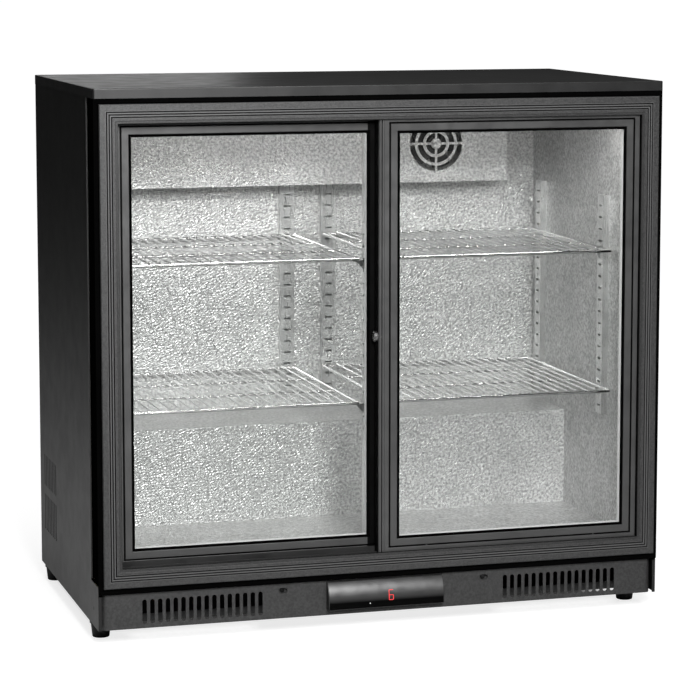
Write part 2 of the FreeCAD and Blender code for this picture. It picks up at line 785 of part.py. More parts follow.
def foam_chases():
    """Room in the insulation for the two refrigerant lines and the drain tube."""
    half = PIPE_R + OVERCUT
    chases = [box(x - half, x + half, IN_BACK, RISER_Y + half, MACHINE_TOP, PIPE_Z + half) for x in PIPE_X]
    return chases + [rod_z(DRAIN_R, DRAIN_X, DRAIN_Y, MACHINE_TOP, STEP_Z)]


def cabinet_foam(portal):
    """Foamed-in insulation between the outer sheets, the front frame and the liner."""
    front_x, top_x, wall = BODY_X - FOLD, WIDTH / 2 - TOP_FOAM, JAMB_X + REVEAL
    main = box(-INNER_X, INNER_X, PORTAL_EDGE, BACK - SHEET, PORTAL_BOTTOM, BODY_TOP)
    front = box(-front_x, front_x, PORTAL_FRONT + REVEAL, PORTAL_EDGE, PORTAL_BOTTOM + FOLD, BODY_TOP)
    top = box(-top_x, top_x, TOP_FRONT + TOP_FOAM, BACK - TOP_FOAM, BODY_TOP, HEIGHT - FOLD)
    mouth = box(-wall, wall, FRONT, PORTAL_BACK, SILL_Z - REVEAL, HEAD_Z + REVEAL)
    machine = box(-INNER_X, INNER_X, MACHINE_Y, BACK, PORTAL_BOTTOM - OVERCUT, MACHINE_TOP + SHEET)
    channel = box(SEAM_X - FOLD, BODY_X, PORTAL_EDGE, SEAM_BACK + SEAM_TUCK, NOTCH_TOP, BODY_TOP)
    rooms = [portal, mouth, machine, liner_cavity(LINER)] + both_sides(channel) + foam_chases()
    return main.fuse([front, top]).cut(rooms).removeSplitter()


def foot_places():
    return [(x, y) for y in (FOOT_FRONT_Y, FOOT_BACK_Y) for x in (-FOOT_X, FOOT_X)]


def base_pan():
    """Floor sheet of the machine room, with threaded bosses and doubling plates for the feet."""
    x = INNER_X - FLANGE - SHEET
    pieces = [box(-x, x, BASE_FRONT, BACK - SHEET, BODY_BOTTOM, DECK)]
    pieces.append(box(-x, x, BASE_FRONT, BASE_FRONT + SHEET, BODY_BOTTOM, BODY_BOTTOM + BASE_LIP))
    inside = box(-INNER_X, INNER_X, FRONT, BACK - SHEET, 0, HEIGHT)
    holes = []
    for x, y in foot_places():
        for half, bottom, top in ((NUT_HALF, DECK, DECK + NUT), (PAD_HALF, BODY_BOTTOM + SHEET, DECK)):
            pieces.append(box(x - half, x + half, y - half, y + half, bottom, top).common(inside))
        holes.append(rod_z(STUD_R + RUN, x, y, BODY_BOTTOM - OVERCUT, DECK + NUT + OVERCUT))
    return fuse(pieces).cut(holes)


def kick_panel():
    """Folded plinth cover with round corners, air slots and an opening for the controller."""
    x, front, back = KICK_X, KICK_FRONT, KICK_BACK
    shell = box(-x, x, front, back, KICK_BOTTOM, KICK_TOP)
    shell = shell.makeFillet(KICK_CORNER, vertical_edges(shell, lambda x, y: y < front + OVERCUT))
    x, front = KICK_X - FOLD, KICK_FRONT + FOLD
    hollow = box(-x, x, front, back + OVERCUT, KICK_BOTTOM - OVERCUT, KICK_TOP - FOLD)
    hollow = hollow.makeFillet(KICK_CORNER - FOLD, vertical_edges(hollow, lambda x, y: y < front + OVERCUT))
    x, front = CTRL_X - CTRL_FRAME, KICK_FRONT - OVERCUT
    opening = box(-x, x, front, front + KICK_REACH, CTRL_BOTTOM + CTRL_FRAME, CTRL_TOP - CTRL_FRAME)
    cutters = [hollow, opening]
    tabs = []
    for side in (-1, 1):
        cutters.append(screw_window(side * PLINTH_SCREW_X))
        tabs.append(plinth_tab(side * PLINTH_SCREW_X))
        for i in range(SLOT_COUNT):
            x = side * (SLOT_FIRST + SLOT_PITCH * i)
            cutters.append(slot_z(x, front, front + KICK_REACH, SLOT_BOTTOM, SLOT_TOP, SLOT_W))
    return fuse([shell.cut(cutters)] + tabs)


def screw_window(x):
    """Cutter for the oval opening through which a plinth screw is reached."""
    y0, z = KICK_FRONT - OVERCUT, PLINTH_SCREW_Z
    y1 = y0 + KICK_REACH
    middle = box(x - OVAL_HALF, x + OVAL_HALF, y0, y1, z - OVAL_R, z + OVAL_R)
    return fuse([middle] + [rod_y(OVAL_R, x + dx, y0, y1, z) for dx in (-OVAL_HALF, OVAL_HALF)])


def plinth_tab(x):
    """Tab folded down from the plinth's top flange, with a hole for its screw."""
    y, z = KICK_FRONT + TAB_BACK, PLINTH_SCREW_Z
    tab = box(x - TAB_HALF, x + TAB_HALF, y, y + FOLD, z - TAB_HALF, TAB_TOP)
    return tab.cut(rod_y(SHANK_HOLE_R, x, y - OVERCUT, y + FOLD + OVERCUT, z))


def flush_screws():
    """Places and outward directions of the screws whose heads sit flush in the sheets."""
    screw_y, screw_z = SIDE_SCREW
    places = []
    for side in (-1, 1):
        places.append(((side * BODY_X, screw_y, screw_z), (side, 0, 0)))
        for z in REAR_SCREW_Z:
            places.append(((side * REAR_SCREW_X, BACK, z), (0, 1, 0)))
    return places


def flush_screw(place, out, radius):
    return Part.makeCylinder(radius, SHEET, V(*place) - V(*out) * SHEET, V(*out))


def screw_holes():
    return [flush_screw(place, out, SCREW_R + SCREW_GAP) for place, out in flush_screws()]


def panel_screws():
    """Two domed screws behind the plinth's oval openings and the flush ones in sides and back."""
    y, z = KICK_FRONT + TAB_BACK, PLINTH_SCREW_Z
    screws = []
    for x in (-PLINTH_SCREW_X, PLINTH_SCREW_X):
        head = rod_y(DOME_R, x, y - DOME_H, y, z)
        head = ease_rims(head, DOME_EDGE, lambda centre: centre.y < y - OVERCUT)
        screws.append(fuse([head, rod_y(SHANK_R, x, y, y + SHANK, z)]))
    return screws + [flush_screw(place, out, SCREW_R) for place, out in flush_screws()]


# ---- controller ---------------------------------------------------------------------

def controller_section(back):
    """Outline of the controller's nose: a quarter-round top that runs down to an upright front."""
    y0, z0, z1 = CTRL_FRONT, CTRL_BOTTOM, CTRL_TOP
    set_back, drop = CTRL_CURVE
    chin_in = CTRL_CHIN * (1 - math.sqrt(0.5))
    shoulder, middle = V(0, y0 + CTRL_SET_BACK, z1), V(0, y0 + set_back, z1 - drop)
    brow, chin = V(0, y0, z1 - CTRL_BROW), V(0, y0, z0 + CTRL_CHIN)
    corner, heel = V(0, y0 + chin_in, z0 + chin_in), V(0, y0 + CTRL_CHIN, z0)
    rear_low, rear_high = V(0, back, z0), V(0, back, z1)
    curves = [
        Part.Arc(shoulder, middle, brow),
        Part.LineSegment(brow, chin),
        Part.Arc(chin, corner, heel),
        Part.LineSegment(heel, rear_low),
        Part.LineSegment(rear_low, rear_high),
        Part.LineSegment(rear_high, shoulder),
    ]
    return Part.Face(Part.Wire([curve.toShape() for curve in curves]))


def controller_nose(half_x, back):
    return controller_section(back).translate(V(-half_x, 0, 0)).extrude(V(2 * half_x, 0, 0))


def controller_core(half_x):
    """Nose moved back by the window's thickness, to hollow out what is behind the window."""
    return controller_nose(half_x, KICK_BACK).translate(V(0, WINDOW_T, 0))


def controller_window():
    """Glossy smoked window, a thin shell that makes the whole front of the controller."""
    nose = controller_nose(CTRL_X - CTRL_RIM, KICK_FRONT - OVERCUT)
    band = box(-CTRL_X, CTRL_X, FRONT, KICK_FRONT, CTRL_BOTTOM + CTRL_RIM, CTRL_TOP - CTRL_RIM)
    return nose.common(band).cut(controller_core(CTRL_X))


def controller_housing():
    """Black body behind the window, with the board's chamber."""
    low, high = CTRL_BOTTOM + CTRL_FRAME, CTRL_TOP - CTRL_FRAME
    room = controller_core(CTRL_X - CTRL_SIDE_WALL)
    room = room.common(box(-CTRL_X, CTRL_X, FRONT, KICK_FRONT - CTRL_REAR_WALL, low, high))
    body = controller_block(CTRL_BODY_INSET, KICK_FRONT, KICK_FRONT + CTRL_BODY)
    chamber = controller_block(CTRL_BODY_INSET + CTRL_WALL, KICK_FRONT - CTRL_WALL,
                               KICK_FRONT + CTRL_BODY - CTRL_WALL)
    return fuse([controller_nose(CTRL_X, KICK_FRONT), body]).cut([controller_window(), room, chamber])


def controller_block(inset, y0, y1):
    x = CTRL_X - inset
    return box(-x, x, y0, y1, CTRL_BOTTOM + inset, CTRL_TOP - inset)


def controller_board():
    """Circuit board with the display module standing on it."""
    y0 = KICK_FRONT + MODULE_DEPTH
    y1 = y0 + BOARD_T
    board = box(-BOARD_X, BOARD_X, y0, y1, CTRL_BOTTOM + BOARD_INSET, CTRL_TOP - BOARD_INSET)
    module = box(-MODULE_X, MODULE_X, KICK_FRONT, y0, CTRL_BOTTOM + MODULE_INSET, CTRL_TOP - MODULE_INSET)
    rear, top = KICK_FRONT + CTRL_BODY - CTRL_WALL, BOARD_POST_Z + BOARD_POST
    posts = [box(x, x + BOARD_POST, y1, rear, BOARD_POST_Z, top) for x in BOARD_POST_X]
    return fuse([board, module] + posts)


# ---- inside fittings ----------------------------------------------------------------

def slotted_channel():
    """Shelf upright at the origin: a channel along Z, open towards +Y and slotted in its face."""
    half, room_half, slot_half = POST_W / 2, POST_W / 2 - FOLD, POST_SLOT_W / 2
    body = box(-half, half, -POST_T, 0, POST_BOTTOM, POST_TOP)
    cutters = [box(-room_half, room_half, FOLD - POST_T, OVERCUT, POST_BOTTOM - OVERCUT, POST_TOP + OVERCUT)]
    for z in slot_heights(POST_BOTTOM + POST_SLOT_FIRST):
        cutters.append(box(-slot_half, slot_half, -POST_T - OVERCUT, 0, z, z + POST_SLOT_H))
    return body.cut(cutters)


def slot_heights(first):
    return [first + POST_PITCH * i for i in range(POST_SLOTS)]


def centre_post():
    """Free-standing tube behind the meeting stiles, from floor to ceiling."""
    x, y, slot_y = CENTRE_HALF, CENTRE_DEPTH / 2, CENTRE_SLOT_W / 2
    tube = box(-x, x, CENTRE_Y - y, CENTRE_Y + y, IN_FLOOR, IN_CEILING)
    cutters = [box(FOLD - x, x - FOLD, CENTRE_Y + FOLD - y, CENTRE_Y + y - FOLD,
                   IN_FLOOR + CENTRE_CAP, IN_CEILING - CENTRE_CAP)]
    for z in slot_heights(POST_BOTTOM):
        cutters.append(box(-x - OVERCUT, x + OVERCUT, CENTRE_Y - slot_y, CENTRE_Y + slot_y, z, z + POST_SLOT_H))
    return tube.cut(cutters)


def shelf_uprights():
    channel = slotted_channel()
    posts = [centre_post()] + both_sides(turned(channel, 0, (BACK_POST_X, IN_BACK, 0)))
    for y in (POST_FRONT_Y, POST_BACK_Y):
        posts += both_sides(turned(channel, -90, (IN_X, y, 0)))
    return posts


def shelf(top):
    """Right-hand chromed wire shelf: a frame, two cross rails and the depth wires."""
    x0, x1, y0, y1, z = SHELF_INNER_X, SHELF_OUTER_X, SHELF_FRONT, SHELF_BACK, top - RAIL_R
    bars = [rod_x(RAIL_R, x0, x1, y, z) for y in (y0, y1)]
    bars += [rod_y(RAIL_R, x, y0, y1, z) for x in (x0, x1)]
    bars += [Part.makeSphere(RAIL_R, V(x, y, z)) for x in (x0, x1) for y in (y0, y1)]
    bars += [rod_x(CROSS_R, x0, x1, y0 + y, z - CROSS_DROP) for y in CROSS_Y]
    count = int((x1 - x0) / WIRE_PITCH) - 1
    first = (x0 + x1) / 2 - WIRE_PITCH * (count - 1) / 2
    wire_z = top + WIRE_R * (1 - WIRE_SINK)
    for i in range(count):
        bars.append(rod_y(WIRE_R, first + WIRE_PITCH * i, y0 - WIRE_END, y1 + WIRE_END, wire_z))
    return fuse(bars)


def clip():
    """Bracket under a shelf's corner, at the origin and pointing to -Y: a plate on a thin web."""
    reach, height = CLIP_WEB
    plate = box(-CLIP_HALF, CLIP_HALF, -CLIP_REACH, 0, -CLIP_T, 0)
    outline = [(-CLIP_T / 2, 0, -CLIP_T), (-CLIP_T / 2, -reach, -CLIP_T), (-CLIP_T / 2, 0, -CLIP_T - height)]
    return fuse([plate, prism(outline, (CLIP_T, 0, 0))])


def shelf_clips():
    """One clip under each corner of every shelf, facing away from its upright."""
    clips = []
    for top in SHELF_Z:
        z = top - 2 * RAIL_R - CLIP_GAP
        places = [(-90, (IN_X - POST_T, y, z)) for y in (POST_FRONT_Y, POST_BACK_Y)]
        places += [(90, (CENTRE_HALF, CENTRE_Y, z)), (0, (BACK_POST_X, IN_BACK - POST_T, z))]
        for degrees, place in places:
            clips += both_sides(turned(clip(), degrees, place))
    return clips


def light_block(end, side, z0, z1):
    """Block inside the outline of the light strip, smaller by the two insets."""
    return box(end - LIGHT_X, LIGHT_X - end, LIGHT_Y + side, LIGHT_Y + LIGHT_W - side, z0, z1)


def light_housing():
    """Aluminium channel for the light strip, on the ceiling just behind the doors."""
    bottom = IN_CEILING - LIGHT_H
    room = light_block(LIGHT_END, LIGHT_WALL, bottom - OVERCUT, IN_CEILING - LIGHT_ROOF)
    return light_block(0, 0, bottom, IN_CEILING).cut(room)


def light_diffuser():
    bottom = IN_CEILING - LIGHT_H
    return light_block(LIGHT_END + DIFFUSER_END, LIGHT_WALL + DIFFUSER_SIDE, bottom, bottom + DIFFUSER_T)


# ---- evaporator ---------------------------------------------------------------------

def ring_guard():
    """Cutters for the fan guard: round slots, each left with four spokes."""
    x, z, r, s = EFAN_X, EFAN_Z, EFAN_GUARD_R, GUARD_SPOKE
    y0, y1 = EVAP_FRONT - OVERCUT, EVAP_FRONT + SHEET + OVERCUT
    spokes = [box(x - s, x + s, y0, y1, z - r, z + r), box(x - r, x + r, y0, y1, z - s, z + s)]
    cutters = []
    for i in range(GUARD_RINGS):
        outer = r - GUARD_PITCH * i
        band = rod_y(outer, x, y0, y1, z).cut([rod_y(outer - GUARD_GAP, x, y0, y1, z)] + spokes)
        cutters += band.Solids
    return cutters


def evaporator_cover():
    """Embossed air cover across the top of the back wall, with a fan guard and outlets below."""
    x = EVAP_X
    shell = box(-x, x, EVAP_FRONT, IN_BACK, EVAP_BOTTOM, IN_CEILING)
    x = EVAP_X - SHEET
    room = box(-x, x, EVAP_FRONT + SHEET, IN_BACK + OVERCUT, EVAP_BOTTOM + SHEET, IN_CEILING + OVERCUT)
    z0, z1 = EVAP_BOTTOM - OVERCUT, EVAP_BOTTOM + SHEET + OVERCUT
    outlets = []
    for i in range(OUTLET_COUNT):
        x = OUTLET_FIRST + OUTLET_PITCH * i
        outlets.append(box(x, x + OUTLET_W, EVAP_FRONT + OUTLET_FRONT, IN_BACK - OUTLET_REAR, z0, z1))
    return shell.cut([room] + outlets + ring_guard())


def fin_gaps(start, end, count):
    """Both edges of each gap between a coil's fins."""
    pitch = (end - start) / count
    middles = [start + pitch * (i + 0.5) for i in range(count)]
    return [(middle - FIN_GAP / 2, middle + FIN_GAP / 2) for middle in middles]


def tube_bend(place, out):
    """Half-ring that joins two tubes of a coil, the lower one at the given place."""
    start, rise = V(*place), V(0, 0, TUBE_PITCH)
    middle = start + rise * 0.5 + V(*out) * (TUBE_PITCH / 2)
    arc = Part.Arc(start, middle, start + rise).toShape()
    section = Part.Wire(Part.Circle(start, V(*out), TUBE_R).toShape())
    return Part.Wire([arc]).makePipeShell([section], True, False)


def evaporator_coil():
    """Block of fins across the back wall, its tubes joined by bends at both ends."""
    (x0, x1), (y0, y1), (z0, z1) = COIL_X, COIL_Y, COIL_Z
    gaps = fin_gaps(x0, x1, COIL_FINS)
    grooves = [box(a, b, y0 - OVERCUT, y0 + FIN_DEPTH, z0 - OVERCUT, z1 + OVERCUT) for a, b in gaps]
    bends = [tube_bend((x1, COIL_TUBE_Y, z), (1, 0, 0)) for z in COIL_LEVELS]
    bends += [tube_bend((x0, COIL_TUBE_Y, z + TUBE_PITCH), (-1, 0, 0)) for z in COIL_LEVELS[:-1]]
    return fuse([box(x0, x1, y0, y1, z0, z1).cut(grooves)] + bends)


def fan_motor(place, axis, radius, length, mounting):
    """Motor can with a bored nose; the bore takes the fan's shaft with a running fit."""
    start, direction = V(*place), V(*axis)
    can = ease_rims(Part.makeCylinder(radius, length, start, direction), MOTOR_EDGE)
    bore = Part.makeCylinder(SHAFT_R + RUN, MOTOR_BORE + OVERCUT, start - direction * OVERCUT, direction)
    return fuse([can, mounting]).cut(bore)


def evaporator_motor():
    x, z, half = EFAN_X, EFAN_Z, EMOTOR_ARM
    arm = box(x - half, x + half, EMOTOR_ARM_Y, IN_BACK, z - half, z + half)
    return fan_motor((x, EMOTOR_Y, z), (0, 1, 0), EMOTOR_R, EMOTOR_LENGTH, arm)


def fan(place, axis, hub_r, tip_r, depth):
    """Hub with tilted blades and its shaft, turning about the given axis."""
    hub = ease_rims(Part.makeCylinder(hub_r, depth), HUB_EDGE, lambda centre: centre.z > depth / 2)
    shaft = Part.makeCylinder(SHAFT_R, SHAFT_OUT + SHAFT_IN, V(0, 0, -SHAFT_OUT))
    chord = tip_r * BLADE_CHORD
    root = hub_r - BLADE_ROOT
    swept = Part.makeCylinder(tip_r, depth)
    blade = Part.makeBox(tip_r - root, chord, BLADE_T, V(root, -chord / 2, -BLADE_T / 2))
    blade.rotate(V(0, 0, 0), V(1, 0, 0), BLADE_TILT)
    blade = blade.translate(V(0, 0, depth / 2)).common(swept)
    blades = [turned(blade, 360.0 * i / BLADES, (0, 0, 0)) for i in range(BLADES)]
    whole = fuse([hub, shaft] + blades)
    whole.Placement = FreeCAD.Placement(V(*place), FreeCAD.Rotation(V(0, 0, 1), V(*axis)))
    return whole


def evaporator_fan():
    return fan((EFAN_X, EFAN_Y, EFAN_Z), (0, -1, 0), EFAN_HUB_R, EFAN_TIP_R, EFAN_DEPTH)


# ---- machine room -------------------------------------------------------------------

def compressor():
    """Hermetic shell with a seam flange, foot plate and terminal cover."""
    x, y, bottom = COMP_X, COMP_Y, COMP_BOTTOM
    middle, top = bottom + COMP_HALF_H, bottom + 2 * COMP_HALF_H
    lower = rod_z(COMP_R, x, y, bottom, middle)
    lower = ease_rims(lower, COMP_LOW_EDGE, lambda centre: centre.z < bottom + TINY)
    upper = rod_z(COMP_TOP_R, x, y, middle, top)
    upper = ease_rims(upper, COMP_TOP_EDGE, lambda centre: centre.z > top - TINY)
    rim = rod_z(COMP_RIM_R, x, y, middle - COMP_RIM_H / 2, middle + COMP_RIM_H / 2)
    half_x, half_y = COMP_PLATE
    under, over = COMP_PLATE_T
    plate = box(x - half_x, x + half_x, y - half_y, y + half_y, bottom - under, bottom + over)
    plate = plate.makeFillet(COMP_PLATE_CORNER, vertical_edges(plate))
    holes = [rod_z(MOUNT_HOLE_R, mx, my, bottom - under - OVERCUT, bottom + over + OVERCUT)
             for mx, my in mount_places()]
    cover_x, cover_z = TERMINAL_X, TERMINAL_Z
    cover = box(x + cover_x[0], x + cover_x[1], y - TERMINAL_HALF, y + TERMINAL_HALF,
                bottom + cover_z[0], bottom + cover_z[1])
    return fuse([lower, upper, rim, plate.cut(holes), cover])


def mount_places():
    dx, dy = COMP_MOUNT
    return [(COMP_X + x, COMP_Y + y) for x in (-dx, dx) for y in (-dy, dy)]


def compressor_mounts():
    """Rubber mounts with a base under the foot plate and a cap over it."""
    steps = list(zip(MOUNT_R, MOUNT_Z, MOUNT_Z[1:]))
    return [fuse([rod_z(r, x, y, DECK + z0, DECK + z1) for r, z0, z1 in steps]) for x, y in mount_places()]


def condenser_coil():
    """Block of fins on two legs, its tubes joined by bends on the front."""
    (y0, y1), z0, z1 = COND_Y, COND_BOTTOM, COND_TOP
    gaps = fin_gaps(y0, y1, COND_FINS)
    grooves = [box(COND_X - OVERCUT, COND_X + FIN_DEPTH, a, b, z0 - OVERCUT, z1 + OVERCUT) for a, b in gaps]
    block = box(COND_X, COND_X + COND_T, y0, y1, z0, z1).cut(grooves)
    leg_x0, leg_x1 = COND_LEG_X
    legs = [box(COND_X + leg_x0, COND_X + leg_x1, y, y + COND_LEG_T, DECK, z0) for y in COND_LEG_Y]
    levels = [z0 + COND_BEND_FIRST + COND_BEND_PITCH * i for i in range(COND_BENDS)]
    bends = [tube_bend((COND_X + COND_T / 2, y0, z), (0, -1, 0)) for z in levels]
    return fuse([block] + legs + bends)


def condenser_shroud():
    """Upright plate with a round collar for the fan and holes for the refrigerant lines."""
    x0, (y0, y1), y, z = SHROUD_X, SHROUD_Y, CFAN_Y, CFAN_Z
    x1 = x0 + SHROUD_T
    plate = box(x0, x1, y0, y1, DECK, SHROUD_TOP)
    foot_plate = box(x0, x0 + SHROUD_FOOT, y0, y1, DECK, DECK + SHROUD_T)
    collar = rod_x(COLLAR_R, x0, x0 + COLLAR, y, z)
    cutters = [rod_x(COLLAR_R - SHROUD_T, x0 - OVERCUT, x0 + COLLAR + OVERCUT, y, z)]
    for line_z in (LINE_LOW_Z, LINE_HIGH_Z):
        cutters.append(rod_x(PIPE_R, x0 - OVERCUT, x1 + OVERCUT, LINE_Y, line_z))
    return fuse([plate, collar, foot_plate]).cut(cutters)


def condenser_motor():
    x0, x1, half = CMOTOR_POST
    post = box(CMOTOR_X + x0, CMOTOR_X + x1, CFAN_Y - half, CFAN_Y + half, DECK, CFAN_Z)
    x0, x1, half, thick = CMOTOR_FOOT
    foot_plate = box(CMOTOR_X + x0, CMOTOR_X + x1, CFAN_Y - half, CFAN_Y + half, DECK, DECK + thick)
    return fan_motor((CMOTOR_X, CFAN_Y, CFAN_Z), (1, 0, 0), CMOTOR_R, CMOTOR_LENGTH, fuse([post, foot_plate]))


def condenser_fan():
    return fan((CFAN_X, CFAN_Y, CFAN_Z), (-1, 0, 0), CFAN_HUB_R, CFAN_TIP_R, CFAN_DEPTH)


def filter_drier():
    """Copper drier in the liquid line, standing against the machine room's front wall."""
    x, y, (z0, z1) = DRIER_X, DRIER_Y, DRIER_Z
    lower = Part.makeCone(DRIER_NECK_R, DRIER_R, DRIER_CONE, V(x, y, z0 - DRIER_CONE))
    upper = Part.makeCone(DRIER_R, DRIER_NECK_R, DRIER_CONE, V(x, y, z1))
    return fuse([rod_z(DRIER_R, x, y, z0, z1), lower, upper])


def refrigerant_pipes():
    """Discharge, liquid and suction lines, each a bent copper tube."""
    liquid_x, suction_x = PIPE_X
    x, y, (z0, z1) = DRIER_X, DRIER_Y, DRIER_Z
    coil_x = COND_X + COND_T
    (discharge_dx, discharge_dy), (suction_dx, suction_dy) = STUBS
    stub_y = COMP_Y + discharge_dy
    discharge_bend, outlet_bend, riser_bend = BENDS
    discharge = pipe([(COMP_X + discharge_dx, stub_y, DISCHARGE_Z), (DISCHARGE_X, stub_y, DISCHARGE_Z),
                      (DISCHARGE_X, LINE_Y, DISCHARGE_Z), (DISCHARGE_X, LINE_Y, LINE_HIGH_Z),
                      (coil_x, LINE_Y, LINE_HIGH_Z)], LINE_R, discharge_bend)
    outlet = pipe([(coil_x, LINE_Y, LINE_LOW_Z), (x - LIQUID_LEAD, LINE_Y, LINE_LOW_Z),
                   (x, y, LINE_LOW_Z), (x, y, z0 - DRIER_CONE)], LINE_R, outlet_bend)
    liquid = pipe([(x, y, z1 + DRIER_CONE), (x, y, LIQUID_Z), (liquid_x, LIQUID_Y, LIQUID_Z),
                   (liquid_x, RISER_Y, LIQUID_Z), (liquid_x, RISER_Y, PIPE_Z),
                   (liquid_x, PIPE_END_Y, PIPE_Z)], LINE_R, riser_bend)
    suction = pipe([(suction_x, PIPE_END_Y, PIPE_Z), (suction_x, RISER_Y, PIPE_Z),
                    (suction_x, RISER_Y, SUCTION_Z), (SUCTION_X, RISER_Y, SUCTION_Z),
                    (COMP_X + suction_dx, COMP_Y + suction_dy, SUCTION_Z)], LINE_R, riser_bend)
    shell = compressor()
    return [discharge.cut(shell), outlet, liquid, suction.cut(shell)]


def condensate_pan():
    """Open tray that evaporates the defrost water."""
    (x0, x1), (y0, y1), wall = PAN_X, PAN_Y, PAN_WALL
    tray = box(x0, x1, y0, y1, DECK, DECK + PAN_H)
    room = box(x0 + wall, x1 - wall, y0 + wall, y1 - wall, DECK + wall, DECK + PAN_H + OVERCUT)
    tray = tray.makeFillet(PAN_CORNER, vertical_edges(tray))
    return tray.cut(room.makeFillet(PAN_CORNER - wall, vertical_edges(room)))


def drain_tube():
    outer = rod_z(DRAIN_R, DRAIN_X, DRAIN_Y, DRAIN_END, STEP_Z)
    return outer.cut(rod_z(DRAIN_R - DRAIN_WALL, DRAIN_X, DRAIN_Y, DRAIN_END - OVERCUT, STEP_Z + OVERCUT))


def electrical_box():
    """Box with rounded corners and a groove that parts its lid."""
    (x0, x1), (y0, y1), g = EBOX_X, EBOX_Y, EBOX_GROOVE
    body = box(x0, x1, y0, y1, DECK, DECK + EBOX_H)
    body = body.makeFillet(EBOX_CORNER, vertical_edges(body))
    z0 = DECK + EBOX_LID
    z1 = z0 + g
    slab = box(x0 - g, x1 + g, y0 - g, y1 + g, z0, z1)
    return body.cut(slab.cut(box(x0 + g, x1 - g, y0 + g, y1 - g, z0, z1)))


def power_inlet():
    """Appliance inlet in the rear cover: a shell with a recess and three pins."""
    x, z, (half_x, half_z) = INLET_X, INLET_Z, INLET_HALF
    shell = box(x - half_x, x + half_x, BACK - INLET_DEPTH, BACK - INLET_SHY, z - half_z, z + half_z)
    half_x -= INLET_SIDE
    half_z -= INLET_SIDE
    recess = box(x - half_x, x + half_x, BACK - INLET_RECESS, BACK + OVERCUT, z - half_z, z + half_z)
    (pin_x, pin_z), (back, front) = PIN_HALF, PIN_Y
    pins = [box(x + dx - pin_x, x + dx + pin_x, BACK - back, BACK - front, z + dz - pin_z, z + dz + pin_z)
            for dx, dz in PINS]
    return fuse([shell.cut(recess)] + pins)


# ---- doors --------------------------------------------------------------------------

def place_door(shape, index):
    """The left door is the right one mirrored and set back by one track."""
    return mirror_x(shape).translate(V(0, DOOR_PITCH, 0)) if index else shape


def roller_x():
    return (DOOR_RING + ROLLER_INSET, DOOR_EDGE - ROLLER_INSET)


def door_ring(profile):
    """Four mitred bars around a door. The profile gives insets and distances back from its face."""
    points = [(inset, DOOR_FRONT + y) for inset, y in profile]
    return mitred_frame(points, DOOR_RING, DOOR_EDGE, DOOR_BOTTOM, DOOR_TOP)


def grip_stile():
    """Extra width on the meeting stile, with a finger groove down its face."""
    x, y0, y1 = DOOR_GRIP, DOOR_FRONT, DOOR_FRONT + DOOR_T
    outline = [(DOOR_RING, y1), (x + GRIP_REAR_EASE, y1), (x, y1 - GRIP_REAR_EASE)]
    outline += [(x, y0 + GRIP_FRONT_EASE), (x + GRIP_FRONT_EASE, y0)]
    outline += [(x + across, y0 + depth) for across, depth in GRIP_GROOVE]
    outline.append((DOOR_RING, y0))
    return prism([(x, y, DOOR_BOTTOM) for x, y in outline], (0, 0, DOOR_TOP - DOOR_BOTTOM))


def roller_axles():
    y = track_y(0)
    return [rod_y(AXLE_R, x, y - AXLE_HALF, y + AXLE_HALF, ROLLER_Z) for x in roller_x()]


def roller_cutters():
    """Runner slot, and a pocket with an axle hole for each roller."""
    y, low = track_y(0), DOOR_BOTTOM - OVERCUT
    half = RUNNER_SLOT_HALF
    cutters = [box(DOOR_GRIP - OVERCUT, DOOR_EDGE + OVERCUT, y - half, y + half,
                   low, RUNNER_TOP + RUNNER_SLOT_OVER)]
    half = ROLLER_W / 2 + POCKET_GAP
    for x in roller_x():
        cutters.append(box(x - POCKET_HALF, x + POCKET_HALF, y - half, y + half, low, ROLLER_Z + POCKET_OVER))
    return cutters + roller_axles()


def lock_cutters():
    """Round seat for the lock body and the pocket in which its cam swings."""
    y, z, half = track_y(0), LOCK_Z, CAM_POCKET_HALF
    seat = rod_x(LOCK_R, DOOR_GRIP - OVERCUT, LOCK_INNER, y, z)
    pocket = box(LOCK_INNER, CAM_POCKET_X, y - half, DOOR_FRONT + DOOR_T + OVERCUT,
                 z - half, z + CAM_LENGTH + CAM_POCKET_OVER)
    return [seat, pocket]


def keeper_cutter():
    """Slot in the left door's meeting stile that takes the cam; cut before mirroring."""
    x, half = KEEPER_HALF, KEEPER_HALF_H
    return box(-x, x, DOOR_FRONT - OVERCUT, DOOR_FRONT + KEEPER_DEPTH, LOCK_Z - half, LOCK_Z + half)


def door_frame(index):
    """Mitred bars with rebates for both panes, the grip stile and the roller axles."""
    profile = [(0, DOOR_T), (0, FRAME_EASE), (FRAME_EASE, 0), (FRAME_BAND - BAND_EASE, 0)]
    profile += [(FRAME_BAND, BAND_EASE), (FRAME_BAND, GLASS_Y), (REBATE, GLASS_Y)]
    profile += [(REBATE, REAR_LEDGE_Y), (SASH_OUT, REAR_LEDGE_Y), (SASH_OUT, DOOR_T)]
    cutters = roller_cutters() + ([keeper_cutter()] if index else lock_cutters())
    members = [member.cut(cutters) for member in door_ring(profile) + [grip_stile()]]
    return [place_door(member, index) for member in members + roller_axles()]


def door_sash(index):
    """Raised moulding between the frame's outer band and the gasket."""
    across, fall = SASH_BEVEL
    profile = [(SASH_IN, GLASS_Y), (SASH_IN, SASH_Y + SASH_EASE), (SASH_IN + SASH_EASE, SASH_Y),
               (SASH_OUT - across, SASH_Y), (SASH_OUT, SASH_Y + fall), (SASH_OUT, GLASS_Y)]
    return [place_door(bar, index) for bar in door_ring(profile)]


